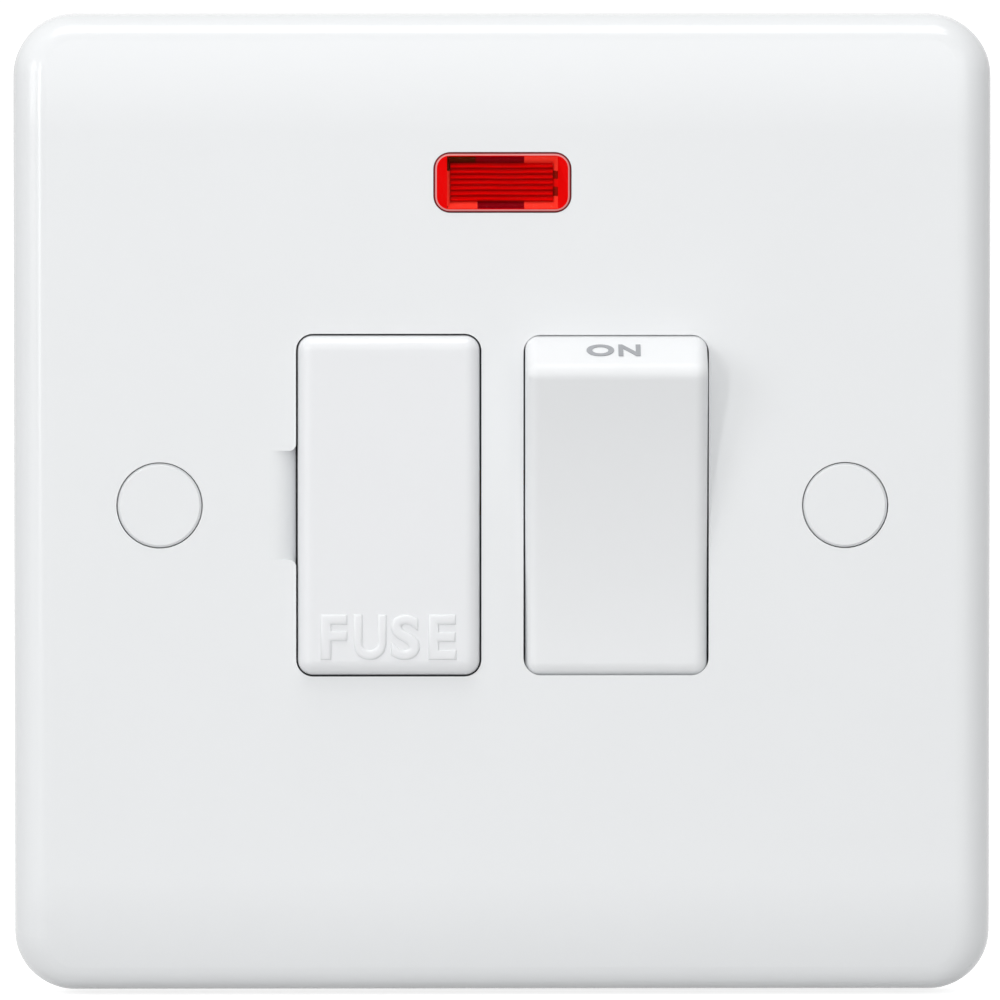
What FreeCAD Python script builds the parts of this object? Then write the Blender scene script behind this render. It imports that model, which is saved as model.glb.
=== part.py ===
import FreeCAD, Part
import math
import os
import Sketcher

from FreeCAD import Placement, Rotation, Vector

# A switched and fused connection unit for a single wall box, built as an assembly.
# The wall plane is y = 0. The front faces -Y, +X is to the right and +Z is up.
# Depth is counted towards the viewer, so a depth of 9.5 is y = -9.5.

SIZES = {
    # front plate
    "plate_width": 86.0,
    "plate_height": 86.0,
    "plate_depth": 9.5,
    "plate_corner": 5.3,
    "plate_roll": 3.0,
    "crown_inset": 9.5,
    "crown_radius": 25.0,
    "front_wall": 2.2,
    "side_wall": 2.0,
    "inner_round": 1.0,
    "back_rib_thickness": 1.0,
    "back_rib_height": 1.0,
    "rib_root": 0.2,
    # wall fixing screws, their wells and their caps
    "fixing_centres": 60.3,
    "fixing_radius": 1.75,
    "fixing_neck_radius": 1.5,
    "fixing_thread_gap": 0.1,
    "fixing_head_radius": 3.2,
    "fixing_head_height": 2.1,
    "fixing_reach": 16.0,
    "fixing_hole_gap": 0.25,
    "well_radius": 5.2,
    "well_base": 2.7,
    "well_floor": 1.8,
    "head_room_radius": 3.45,
    "cap_radius": 3.7,
    "cap_gap": 0.1,
    "cap_thickness": 1.5,
    "cap_spigot": 0.9,
    "cap_wall": 0.5,
    "cap_bevel": 0.2,
    "slot_width": 0.8,
    "slot_depth": 0.8,
    # the two apertures, each side of the middle
    "aperture_offset": 10.0,
    "aperture_width": 16.3,
    "aperture_corner": 1.5,
    "moving_gap": 0.15,
    "notch_radius": 2.6,
    "notch_reach": 2.25,
    "notch_height": 9.6,
    "notch_round": 0.6,
    "guide_thickness": 1.2,
    "guide_height": 24.0,
    "guide_end": 1.0,
    # rocker
    "pivot_depth": 4.5,
    "throw_angle": 10.0,
    "rocker_gap": 0.25,
    "crest_angle": 60.8,
    "skirt_angle": 96.0,
    "face_hollow": 1.2,
    "crest_round": 1.3,
    "rocker_edge_round": 1.1,
    "rocker_wall": 1.6,
    "trunnion_radius": 1.5,
    "trunnion_length": 1.35,
    "trunnion_gap": 0.06,
    "saddle_half": 4.0,
    "rib_gap": 0.1,
    # sprung plungers carried by the rocker
    "pole_offset": 4.0,
    "sleeve_radius": 2.1,
    "sleeve_reach": 5.5,
    "sleeve_depth": 4.6,
    "plunger_radius": 1.2,
    "plunger_gap": 0.05,
    "plunger_reach": 8.0,
    "plunger_top": 1.8,
    "spring_radius": 0.95,
    "spring_wire": 0.3,
    "spring_pitch": 1.2,
    "spring_seat": 0.1,
    # see-saw bridges, fulcrums and contact tips
    "fulcrum_back": 6.5,
    "fulcrum_radius": 0.8,
    "fulcrum_gap": 0.08,
    "neck_thickness": 1.0,
    "dish_gap": 0.25,
    "bridge_width": 3.4,
    "bridge_arm": 9.7,
    "bridge_thickness": 0.8,
    "bridge_rim": 2.6,
    "bridge_block": 2.9,
    "tip_edge": 0.4,
    "tip_radius": 1.3,
    "tip_height": 0.6,
    "tip_dome": 3.0,
    "tip_gap": 0.1,
    "strip_thickness": 0.8,
    # rear housing
    "housing_side_wall": 2.0,
    "housing_bevel": 0.6,
    "housing_back": 13.5,
    "housing_corner": 2.0,
    "bay_floor": 9.8,
    "bay_end_gap": 0.85,
    "bay_wall": 1.25,
    "trough_back": 1.0,
    "outer_wall": 1.6,
    "core_inset": 1.0,
    "core_depth": 1.9,
    "ledge_reach": 3.3,
    "ledge_front": 0.0,
    "barrier_half": 0.6,
    "barrier_front": 1.2,
    "barrier_end_gap": 0.7,
    "saddle_front": 6.0,
    # screws that hold the housing to the plate
    "ear_overhang": 3.1,
    "ear_z": 21.0,
    "ear_radius": 3.2,
    "ear_back": 0.4,
    "ear_front": 2.9,
    "boss_gap": 0.1,
    "boss_radius": 2.8,
    "boss_blind": 0.4,
    "housing_screw_radius": 1.3,
    "housing_screw_head": 2.4,
    "housing_screw_head_height": 1.5,
    "thread_gap": 0.02,
    "ear_hole_gap": 0.2,
    # brass pillar terminals
    "pillar_width": 7.4,
    "pillar_length": 8.55,
    "pillar_front": 2.4,
    "pillar_back": 11.5,
    "pillar_gap": 0.1,
    "wire_radius": 1.9,
    "wire_back": 5.6,
    "wire_slot_half": 2.3,
    "wire_slot_front": 3.2,
    "wire_slot_bevel": 0.6,
    "clamp_radius": 1.7,
    "clamp_lift": 0.3,
    "clamp_head_radius": 2.6,
    "clamp_head_height": 1.6,
    "supply_line_x": 6.0,
    "neutral_edge": 1.2,
    "load_line_x": 10.0,
    "earth_x": 10.5,
    "earth_half_width": 7.6,
    "earth_wire_offset": 3.9,
    # fuse and its drawer
    "carrier_proud": 0.9,
    "carrier_round": 1.3,
    "carrier_corner": 1.3,
    "carrier_front_wall": 2.4,
    "carrier_side_wall": 1.6,
    "carrier_back": 2.5,
    "carrier_end_gap": 0.25,
    "carrier_end_wall": 2.0,
    "cradle_half_width": 4.6,
    "cradle_cap_gap": 0.9,
    "cradle_back": 2.4,
    "tail_half_width": 3.0,
    "tail_back": 8.2,
    "barb_reach": 0.9,
    "carrier_travel": 14.0,
    "fuse_back": 1.0,
    "fuse_length": 25.4,
    "cap_tube_radius": 3.175,
    "fuse_cap_length": 6.3,
    "fuse_cap_end": 0.4,
    "barrel_radius": 2.9,
    "barrel_bore": 1.9,
    "barrel_gap": 0.03,
    "fuse_wire_radius": 0.15,
    "cradle_gap": 0.05,
    "clip_gap": 0.05,
    "clip_thickness": 0.6,
    "clip_from_end": 0.7,
    "clip_width": 5.0,
    "clip_leg": 2.5,
    "clip_flare": 0.8,
    "strip_half_width": 2.0,
    # neon lens and lamp
    "lens_lift": 0.4,
    "lens_width": 11.95,
    "lens_height": 5.15,
    "lens_corner": 1.4,
    "lens_gap": 0.1,
    "lens_proud": 0.1,
    "lens_bevel": 0.3,
    "lens_front_wall": 1.2,
    "lens_side_wall": 0.9,
    "lens_flange": 1.1,
    "lens_rib_pitch": 0.48,
    "lens_rib_height": 0.15,
    "flange_front": 7.25,
    "flange_thickness": 1.15,
    "tower_wall": 1.3,
    "tower_back": 0.5,
    "tower_gap": 0.15,
    "lamp_radius": 1.8,
    "lamp_length": 9.6,
    "lamp_glass_wall": 0.3,
    "lamp_tip_length": 1.6,
    "lamp_tip_radius": 0.6,
    "lamp_pinch_length": 0.8,
    "lamp_pinch_radius": 1.3,
    "lamp_chamber_back": 1.9,
    "electrode_radius": 0.3,
    "electrode_length": 6.0,
    "electrode_offset": 0.7,
    "resistor_radius": 1.15,
    "resistor_length": 6.5,
    "resistor_x": 13.5,
    "resistor_lift": 2.65,
    "lead_radius": 0.35,
}

LINE_POLE, NEUTRAL_POLE = -1, 1
LENS_RIBS = 7
MITRED_CORNERS = 1

doc = FreeCAD.newDocument("SwitchedFusedUnit")
sheet = doc.addObject("Spreadsheet::Sheet", "Sizes")


class Dim:
    """A number together with the spreadsheet expression that gives it."""

    def __init__(self, value, text):
        self.value = float(value)
        self.text = text

    def __add__(self, other):
        other = as_dim(other)
        return joined(self, "+", other, self.value + other.value)

    def __sub__(self, other):
        other = as_dim(other)
        return joined(self, "-", other, self.value - other.value)

    def __mul__(self, other):
        other = as_dim(other)
        return joined(self, "*", other, self.value * other.value)

    def __truediv__(self, other):
        other = as_dim(other)
        return joined(self, "/", other, self.value / other.value)

    def __radd__(self, other):
        return as_dim(other) + self

    def __rsub__(self, other):
        return as_dim(other) - self

    def __rmul__(self, other):
        return as_dim(other) * self

    def __neg__(self):
        return Dim(-self.value, "(0 - " + self.text + ")")


def as_dim(number):
    return number if isinstance(number, Dim) else Dim(number, str(number))


def joined(left, sign, right, value):
    return Dim(value, "(" + left.text + " " + sign + " " + right.text + ")")


def root(dim):
    return Dim(math.sqrt(dim.value), "sqrt(" + dim.text + ")")


def cosine(dim):
    return Dim(math.cos(math.radians(dim.value)), "cos(" + dim.text + " * 1 deg)")


def sine(dim):
    return Dim(math.sin(math.radians(dim.value)), "sin(" + dim.text + " * 1 deg)")


class Sizes:
    """Every named size as a Dim, so that sums of sizes stay tied to the sheet."""


size = Sizes()


def fill_sheet():
    for row, (name, value) in enumerate(SIZES.items(), start=1):
        sheet.set("A%d" % row, name)
        sheet.set("B%d" % row, str(value))
        sheet.setAlias("B%d" % row, name)
        setattr(size, name, Dim(value, "Sizes." + name))
    doc.recompute()


def bind(thing, prop, dim):
    thing.setExpression(prop, as_dim(dim).text)


def vec(point):
    return Vector(as_dim(point[0]).value, as_dim(point[1]).value, 0)


class Profile:
    """A closed outline of straight and arc sides, each corner tied to the sheet."""

    def __init__(self, start):
        self.points = [start]
        self.sides = []

    def line(self, *corners):
        for corner in corners:
            self.sides.append(None)
            self.points.append(corner)
        return self

    def arc(self, corner, radius, left=True):
        self.sides.append((radius, left))
        self.points.append(corner)
        return self

    def close(self, radius=None, left=True):
        self.sides.append(None if radius is None else (radius, left))
        return self

    def draw(self, sketch):
        first = sketch.GeometryCount
        ends = [self.draw_side(sketch, index) for index in range(len(self.sides))]
        for index, (start_end, finish_end) in enumerate(ends):
            following = (index + 1) % len(ends)
            sketch.addConstraint(Sketcher.Constraint(
                "Coincident", first + index, finish_end, first + following, ends[following][0]))
            fix_point(sketch, first + index, start_end, self.points[index])

    def draw_side(self, sketch, index):
        start = vec(self.points[index])
        finish = vec(self.points[(index + 1) % len(self.points)])
        side = self.sides[index]
        if side is None:
            sketch.addGeometry(Part.LineSegment(start, finish))
            return (1, 2)
        radius, left = side
        geometry = sketch.addGeometry(arc_between(start, finish, as_dim(radius).value, left))
        limit = sketch.addConstraint(
            Sketcher.Constraint("Radius", geometry, as_dim(radius).value))
        bind(sketch, "Constraints[%d]" % limit, radius)
        return (1, 2) if left else (2, 1)


class Ring:
    """A full circle, its centre and radius tied to the sheet."""

    def __init__(self, centre, radius):
        self.centre = centre
        self.radius = as_dim(radius)

    def draw(self, sketch):
        circle = Part.Circle(vec(self.centre), Vector(0, 0, 1), self.radius.value)
        geometry = sketch.addGeometry(circle)
        limit = sketch.addConstraint(
            Sketcher.Constraint("Radius", geometry, self.radius.value))
        bind(sketch, "Constraints[%d]" % limit, self.radius)
        fix_point(sketch, geometry, 3, self.centre)


def arc_between(start, finish, radius, left):
    chord = finish - start
    middle = (start + finish) / 2
    rise = math.sqrt(max(radius ** 2 - (chord.Length / 2) ** 2, 0))
    sideways = Vector(-chord.y, chord.x, 0).normalize()
    centre = middle + sideways * (rise if left else -rise)
    circle = Part.Circle(centre, Vector(0, 0, 1), radius)
    one, two = (start, finish) if left else (finish, start)
    return Part.ArcOfCircle(circle, math.atan2(one.y - centre.y, one.x - centre.x),
                            math.atan2(two.y - centre.y, two.x - centre.x))


def fix_point(sketch, geometry, end, point):
    for kind, across, where in (("DistanceX", -2, point[0]), ("DistanceY", -1, point[1])):
        where = as_dim(where)
        if where.text == "0":
            sketch.addConstraint(Sketcher.Constraint("PointOnObject", geometry, end, across))
            continue
        limit = sketch.addConstraint(
            Sketcher.Constraint(kind, -1, 1, geometry, end, where.value))
        bind(sketch, "Constraints[%d]" % limit, where)


def rectangle(left, right, low, high):
    return Profile((left, low)).line((right, low), (right, high), (left, high)).close()


def rounded(left, right, low, high, radius):
    outline = Profile((left + radius, low)).line((right - radius, low))
    outline.arc((right, low + radius), radius).line((right, high - radius))
    outline.arc((right - radius, high), radius).line((left + radius, high))
    outline.arc((left, high - radius), radius).line((left, low + radius))
    return outline.close(radius)


def new_body(name, place=(0, 0, 0)):
    body = doc.addObject("PartDesign::Body", name)
    body.Label = name
    for axis, where in zip("xyz", place):
        bind(body, "Placement.Base." + axis, where)
    return body


def turn_about_x(body, forwards):
    """Tilts a body about its own X axis by the rocker's throw."""
    body.Placement.Rotation = Rotation(Vector(1 if forwards else -1, 0, 0), 1)
    bind(body, "Placement.Rotation.Angle", size.throw_angle)


def new_sketch(body, role, outlines, offset, shift=(0, 0)):
    plane = [item for item in body.Origin.OriginFeatures if item.Role == role][0]
    sketch = body.newObject("Sketcher::SketchObject", body.Name + "_sketch")
    sketch.AttachmentSupport = [(plane, "")]
    sketch.MapMode = "FlatFace"
    for axis, where in zip("xyz", (shift[0], shift[1], offset)):
        bind(sketch, "AttachmentOffset.Base." + axis, where)
    for outline in outlines if isinstance(outlines, list) else [outlines]:
        outline.draw(sketch)
    sketch.Visibility = False
    return sketch


def add(body, kind, sketch):
    feature = body.newObject("PartDesign::" + kind, body.Name + "_" + kind.lower())
    feature.Profile = sketch
    return feature


def pad(body, role, outlines, low, high):
    """Adds material from low to high along the plane's normal."""
    feature = add(body, "Pad", new_sketch(body, role, outlines, as_dim(low)))
    bind(feature, "Length", as_dim(high) - low)
    return feature


def pocket(body, role, outlines, low, high):
    """Cuts from high down to low along the plane's normal, and checks that it cut."""
    doc.recompute()
    before = body.Shape.Volume
    feature = add(body, "Pocket", new_sketch(body, role, outlines, as_dim(high)))
    bind(feature, "Length", as_dim(high) - low)
    doc.recompute()
    if not body.Shape.Volume < before:
        raise RuntimeError(feature.Name + " cut nothing")
    return feature


def spin(body, kind, role, outlines, axis, offset=0, shift=(0, 0)):
    """Turns an outline a full circle about an axis of its sketch."""
    doc.recompute()
    before = 0 if body.Tip is None else body.Shape.Volume
    sketch = new_sketch(body, role, outlines, as_dim(offset), shift)
    feature = add(body, kind, sketch)
    feature.ReferenceAxis = (sketch, [axis])
    feature.Angle = 360
    doc.recompute()
    if body.Shape.Volume == before:
        raise RuntimeError(feature.Name + " changed nothing")
    return feature


def round_off(body, radius, wanted, kind="Fillet"):
    """Rounds or bevels the edges of the last feature for which wanted is true."""
    doc.recompute()
    tip = body.Tip
    names = ["Edge%d" % number for number, edge in enumerate(tip.Shape.Edges, start=1)
             if wanted(edge.BoundBox)]
    if not names:
        raise RuntimeError(body.Name + " has no edge to round")
    feature = body.newObject("PartDesign::" + kind, body.Name + "_" + kind.lower())
    feature.Base = (tip, names)
    bind(feature, "Radius" if kind == "Fillet" else "Size", radius)
    doc.recompute()
    return feature


def near(one, other, slack=0.01):
    return abs(one - as_dim(other).value) < slack


def flat_at(low, high, where):
    """True when an edge's box lies wholly at one coordinate."""
    return near(low, where) and near(high, where)


def aperture_half():
    """Half the height of both apertures, which the fuse and its drawer's walls decide."""
    return size.fuse_length / 2 + size.carrier_end_gap + size.carrier_end_wall + size.moving_gap


def rocker_radius():
    """The rocker turns inside the aperture's end, seen from its pivot."""
    rise = size.plate_depth - size.pivot_depth
    reach = root(aperture_half() * aperture_half() + rise * rise)
    return reach - size.rocker_gap


def bay_half():
    return rocker_radius() + size.bay_end_gap


def bay_inner():
    """The bays are as wide as the apertures and the trunnions' length on each side."""
    return size.aperture_offset - size.aperture_width / 2 - size.trunnion_length


def bay_outer():
    return size.aperture_offset + size.aperture_width / 2 + size.trunnion_length


def housing_half_width():
    return bay_outer() + size.housing_side_wall


def neutral_x():
    """The neutral terminals stand close to the housing's right side."""
    return bay_outer() - size.pillar_width / 2 - size.neutral_edge


def ear_x():
    return housing_half_width() + size.ear_overhang


def tip_arm():
    """From the bridge's ridge to the middle of its contact tip."""
    return size.bridge_arm - size.tip_edge - size.tip_radius


def pillar_inner():
    return bay_half() + size.bay_wall


def pillar_outer():
    return pillar_inner() + size.pillar_length


def housing_half_height():
    return pillar_outer() + size.pillar_gap + size.outer_wall


def lens_z():
    """The window sits over the top edge of the housing, where its chamber opens."""
    return housing_half_height() + size.lens_lift


def resistor_z():
    return pillar_inner() + size.resistor_lift


def clip_limits(end):
    """The clips grip the middle of the fuse's end caps."""
    high = size.fuse_length / 2 - size.clip_from_end
    return span(end, high - size.clip_width, high)


def span(end, low, high):
    """Limits along Z at the top, or mirrored at the bottom."""
    return (low, high) if end > 0 else (-high, -low)


# Depths towards the viewer are sketched on the XZ plane, whose normal is -Y.

def plate_side_profile():
    half = size.plate_height / 2
    fall = size.crown_radius - root(
        size.crown_radius * size.crown_radius - size.crown_inset * size.crown_inset)
    outline = Profile((0, -half)).line((0, half), (fall - size.plate_depth, half))
    outline.arc((-size.plate_depth, half - size.crown_inset), size.crown_radius)
    outline.line((-size.plate_depth, size.crown_inset - half))
    outline.arc((fall - size.plate_depth, -half), size.crown_radius)
    return outline.close()


def plate_shell(body):
    half_w = size.plate_width / 2
    half_h = size.plate_height / 2
    pad(body, "YZ_Plane", plate_side_profile(), -half_w, half_w)
    round_off(body, size.plate_corner, lambda box: (
        near(abs(box.XMin), half_w) and near(box.XMin, box.XMax)
        and near(abs(box.ZMin), half_h) and near(box.ZMin, box.ZMax)))
    rim = size.plate_depth.value / 2
    round_off(body, size.plate_roll, lambda box: (
        box.YMax < -rim and (near(box.XMin, -half_w) or near(box.XMax, half_w)
                             or near(box.ZMin, -half_h) or near(box.ZMax, half_h))))
    inner_w = half_w - size.side_wall
    inner_h = half_h - size.side_wall
    pocket(body, "XZ_Plane",
           rounded(-inner_w, inner_w, -inner_h, inner_h, size.plate_corner - size.side_wall),
           0, size.plate_depth - size.front_wall)
    ceiling = size.front_wall - size.plate_depth
    round_off(body, size.inner_round, lambda box: flat_at(box.YMin, box.YMax, ceiling))


def plate_back_details(body):
    ceiling = size.plate_depth - size.front_wall
    into = ceiling + size.front_wall / 4
    fixing = size.fixing_centres / 2
    pad(body, "XZ_Plane", [Ring((side * fixing, 0), size.well_radius) for side in (-1, 1)],
        size.well_base, into)
    pad(body, "XZ_Plane", [Ring((x, z), size.boss_radius) for x, z in ear_places()],
        size.ear_front + size.boss_gap, into)
    inner = size.aperture_offset - size.aperture_width / 2
    outer = size.aperture_offset + size.aperture_width / 2
    half = size.guide_height / 2
    guides = [rectangle(-outer - size.guide_thickness, -outer, -half, half),
              rectangle(-inner, size.guide_thickness - inner, -half, half)]
    pad(body, "XZ_Plane", guides, size.guide_end, into)
    rib_half = size.trunnion_radius + size.rib_gap
    ribs = [rectangle(bay_inner() + size.moving_gap, inner - size.rib_gap, -rib_half, rib_half),
            rectangle(outer + size.rib_gap, bay_outer() - size.moving_gap,
                      -rib_half, rib_half)]
    pad(body, "XZ_Plane", ribs, size.pivot_depth + size.trunnion_radius + size.rib_gap, into)
    plate_ribs(body, ceiling, into)


def plate_ribs(body, ceiling, into):
    """Low stiffening ribs run from the bosses and the wells to the rim."""
    half = size.back_rib_thickness / 2
    side_end = size.plate_width / 2 - size.side_wall + size.rib_root
    top_end = size.plate_height / 2 - size.side_wall + size.rib_root
    outlines = []
    for side in (-1, 1):
        well = size.fixing_centres / 2 + size.well_radius - half
        outlines.append(rectangle(*span(side, well, side_end), -half, half))
        for end in (-1, 1):
            z = end * size.ear_z
            outlines.append(rectangle(*span(side, ear_x() + size.boss_radius - half, side_end),
                                      z - half, z + half))
            outlines.append(rectangle(side * ear_x() - half, side * ear_x() + half,
                                      *span(end, size.ear_z + size.boss_radius - half, top_end)))
    pad(body, "XZ_Plane", outlines, ceiling - size.back_rib_height, into)


def ear_places():
    return [(side * ear_x(), end * size.ear_z) for side in (-1, 1) for end in (-1, 1)]


def plate_openings(body):
    ceiling = size.plate_depth - size.front_wall
    beyond = size.plate_depth + size.front_wall
    half_w = size.aperture_width / 2
    half_h = aperture_half()
    centre = size.aperture_offset
    window_w = size.lens_width / 2 + size.lens_gap
    window_h = size.lens_height / 2 + size.lens_gap
    pocket(body, "XZ_Plane", [
        rounded(-centre - half_w, half_w - centre, -half_h, half_h, size.aperture_corner),
        rounded(-window_w, window_w, lens_z() - window_h, lens_z() + window_h,
                size.lens_corner + size.lens_gap)],
        ceiling - size.front_wall, beyond)
    reach = rocker_radius() + size.moving_gap
    corner = size.aperture_corner
    disc = Profile((centre - half_w, 0)).line((centre + half_w, 0))
    disc.line((centre + half_w, reach - corner)).arc((centre + half_w - corner, reach), corner)
    disc.line((centre - half_w + corner, reach)).arc((centre - half_w, reach - corner), corner)
    spin(body, "Groove", "XY_Plane", disc.close(), "H_Axis", shift=(0, -size.pivot_depth))


def plate_holes(body):
    fixing = size.fixing_centres / 2
    beyond = size.plate_depth + size.front_wall
    floor = size.well_base + size.well_floor
    shoulder = size.plate_depth - size.cap_thickness
    steps = ((size.fixing_radius + size.fixing_hole_gap, 0, beyond),
             (size.head_room_radius, floor, beyond),
             (size.cap_radius + size.cap_gap, shoulder, beyond))
    for radius, low, high in steps:
        pocket(body, "XZ_Plane", [Ring((side * fixing, 0), radius) for side in (-1, 1)],
               low, high)
    pilot = size.housing_screw_radius + size.thread_gap
    pocket(body, "XZ_Plane", [Ring((x, z), pilot) for x, z in ear_places()],
           0, size.plate_depth - size.front_wall - size.boss_blind)


def plate_notch(body):
    """The thumb notch at the drawer's left edge rolls down into the aperture."""
    edge = -size.aperture_offset - size.aperture_width / 2
    start = edge - size.notch_reach
    fall = size.notch_radius - root(
        size.notch_radius * size.notch_radius - size.notch_reach * size.notch_reach)
    front = -size.plate_depth
    past = edge + size.moving_gap
    cut = Profile((start, front)).arc((edge, front + fall), size.notch_radius)
    cut.line((past, front + fall), (past, front - fall), (start, front - fall)).close()
    half = size.notch_height / 2
    pocket(body, "XY_Plane", cut, -half, half)
    round_off(body, size.notch_round, lambda box: (
        flat_at(box.XMin, box.XMax, edge) and near(abs(box.ZMin), half)
        and near(abs(box.ZMax), half)))


def make_front_plate():
    body = new_body("front_plate")
    plate_shell(body)
    plate_back_details(body)
    plate_openings(body)
    plate_holes(body)
    plate_notch(body)
    return body


def make_screw_cap(name, side):
    """A flush plug with a short hollow spigot that stands in the well's shoulder."""
    body = new_body(name, (side * size.fixing_centres / 2, 0, 0))
    front = -size.plate_depth
    back = front + size.cap_thickness
    spigot = size.head_room_radius - size.cap_gap
    bevel = size.cap_bevel
    outline = Profile((front, 0)).line((front, size.cap_radius - bevel))
    outline.line((front + bevel, size.cap_radius), (back, size.cap_radius))
    outline.line((back, spigot), (back + size.cap_spigot, spigot))
    outline.line((back + size.cap_spigot, spigot - size.cap_wall))
    outline.line((back, spigot - size.cap_wall), (back, 0)).close()
    spin(body, "Revolution", "YZ_Plane", outline, "H_Axis")
    return body


def make_fixing_screw(name, side):
    """A pan head, a plain neck through the plate and a threaded shank behind it."""
    body = new_body(name, (side * size.fixing_centres / 2, 0, 0))
    seat = -(size.well_base + size.well_floor)
    top = seat - size.fixing_head_height
    shoulder = seat - size.fixing_head_height / 3
    tip = size.fixing_reach
    start = size.fixing_thread_gap - size.well_base
    outline = Profile((top, 0)).line((top, size.fixing_head_radius * 0.75))
    outline.line((shoulder, size.fixing_head_radius), (seat, size.fixing_head_radius))
    outline.line((seat, size.fixing_neck_radius), (start, size.fixing_neck_radius))
    outline.line((start, size.fixing_radius))
    outline.line((tip - size.fixing_radius / 2, size.fixing_radius))
    outline.line((tip, size.fixing_radius / 2), (tip, 0)).close()
    spin(body, "Revolution", "YZ_Plane", outline, "H_Axis")
    half = size.slot_width / 2
    reach = size.fixing_head_radius + size.slot_width
    pocket(body, "XZ_Plane", rectangle(-reach, reach, -half, half),
           -top - size.slot_depth, -top + size.slot_depth)
    return body


def headed_screw(name, place, radius, length, head_radius, head_height):
    """A plain cheese head screw along Y, its head at the back, as fused primitives."""
    x, back, z = place
    shank = post(name + "_shank", radius, (x, back - length, z), length)
    head = post(name + "_head", head_radius, (x, back, z), head_height)
    both = doc.addObject("Part::Fuse", name + "_blank")
    both.Base, both.Tool = shank, head
    slot = block(name + "_slot", (x - head_radius * 2, x + head_radius * 2),
                 (back + head_height - size.slot_depth, back + head_height * 2),
                 (z - size.slot_width / 2, z + size.slot_width / 2))
    screw = doc.addObject("Part::Cut", name)
    screw.Base, screw.Tool = both, slot
    return screw


def post(name, radius, base, length):
    """A cylinder that stands along +Y from its base point."""
    cylinder = doc.addObject("Part::Cylinder", name)
    cylinder.Placement.Rotation = Rotation(Vector(1, 0, 0), -90)
    bind(cylinder, "Radius", radius)
    bind(cylinder, "Height", length)
    for axis, where in zip("xyz", base):
        bind(cylinder, "Placement.Base." + axis, where)
    return cylinder


def rod(name, radius, base, length, axis):
    """A cylinder along +X or +Z from its base point."""
    cylinder = doc.addObject("Part::Cylinder", name)
    if axis == "x":
        cylinder.Placement.Rotation = Rotation(Vector(0, 1, 0), 90)
    bind(cylinder, "Radius", radius)
    bind(cylinder, "Height", length)
    for letter, where in zip("xyz", base):
        bind(cylinder, "Placement.Base." + letter, where)
    return cylinder


def block(name, across, depth, height):
    """A box from pairs of limits along X, Y and Z."""
    box = doc.addObject("Part::Box", name)
    for prop, axis, (low, high) in (("Length", "x", across), ("Width", "y", depth),
                                    ("Height", "z", height)):
        bind(box, prop, as_dim(high) - low)
        bind(box, "Placement.Base." + axis, low)
    return box


def group(name, members):
    compound = doc.addObject("Part::Compound", name)
    compound.Label = name
    compound.Links = members
    return compound


def make_housing_screws():
    members = []
    length = size.ear_front - size.ear_back + size.boss_gap + (
        size.plate_depth - size.front_wall - size.ear_front) / 2
    for number, (x, z) in enumerate(ear_places(), start=1):
        members.append(headed_screw("housing_screw_%d" % number, (x, -size.ear_back, z),
                                    size.housing_screw_radius, length,
                                    size.housing_screw_head, size.housing_screw_head_height))
    return group("housing_screws", members)


def terminal_places():
    """Name, middle x, half width and end (+1 top, -1 bottom) of each terminal."""
    half = size.pillar_width / 2
    return (("terminal_supply_line", size.supply_line_x, half, 1),
            ("terminal_supply_neutral", neutral_x(), half, 1),
            ("terminal_earth", -size.earth_x, size.earth_half_width, 1),
            ("terminal_load_line", -size.load_line_x, half, -1),
            ("terminal_load_neutral", neutral_x(), half, -1))


def wire_places():
    """Middle x and end of each wire bore."""
    return ((size.supply_line_x, 1), (neutral_x(), 1),
            (-size.earth_x - size.earth_wire_offset, 1),
            (-size.earth_x + size.earth_wire_offset, 1),
            (-size.load_line_x, -1), (neutral_x(), -1))


def housing_block(body):
    half_w = housing_half_width()
    half_h = housing_half_height()
    front = size.plate_depth - size.front_wall
    pad(body, "XZ_Plane", rounded(-half_w, half_w, -half_h, half_h, size.housing_corner),
        -size.housing_back, front)
    round_off(body, size.housing_bevel,
              lambda box: flat_at(box.YMin, box.YMax, size.housing_back), kind="Chamfer")
    pad(body, "XZ_Plane", [Ring((x, z), size.ear_radius) for x, z in ear_places()],
        size.ear_back, size.ear_front)
    reach = size.ear_radius
    webs = []
    for end in (-1, 1):
        z = end * size.ear_z
        webs.append(rectangle(-ear_x(), size.outer_wall - half_w, z - reach, z + reach))
        webs.append(rectangle(half_w - size.outer_wall, ear_x(), z - reach, z + reach))
    pad(body, "XZ_Plane", webs, size.ear_back, size.ear_front)
    half_t = tower_half_width() + size.tower_wall
    top = lens_z() + tower_half_height() + size.tower_wall
    pad(body, "XZ_Plane", rectangle(-half_t, half_t, half_h - size.outer_wall, top),
        size.tower_back, front)


def tower_half_width():
    return size.lens_width / 2 + size.lens_flange + size.tower_gap


def tower_half_height():
    return size.lens_height / 2 + size.lens_flange + size.tower_gap


def housing_bays(body):
    front = size.plate_depth - size.front_wall
    high = bay_half()
    pocket(body, "XZ_Plane", [rectangle(-bay_outer(), -bay_inner(), -high, high),
                              rectangle(bay_inner(), bay_outer(), -high, high)],
           -size.bay_floor, front)
    near_z = pillar_inner()
    far_z = housing_half_height() - size.outer_wall
    mouth_w = tower_half_width()
    mouth_h = tower_half_height()
    ledge = size.flange_front - size.flange_thickness
    top = lens_z() + mouth_h
    pocket(body, "XZ_Plane", rectangle(-mouth_w, mouth_w, lens_z() - mouth_h, top), ledge, front)
    slim = size.lens_flange
    pocket(body, "XZ_Plane", rectangle(slim - mouth_w, mouth_w - slim, near_z, top - slim),
           size.lamp_chamber_back, ledge)
    troughs = [rectangle(-bay_outer(), bay_outer(), *span(end, near_z, far_z))
               for end in (-1, 1)]
    pocket(body, "XZ_Plane", troughs, -size.trough_back, front)


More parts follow.
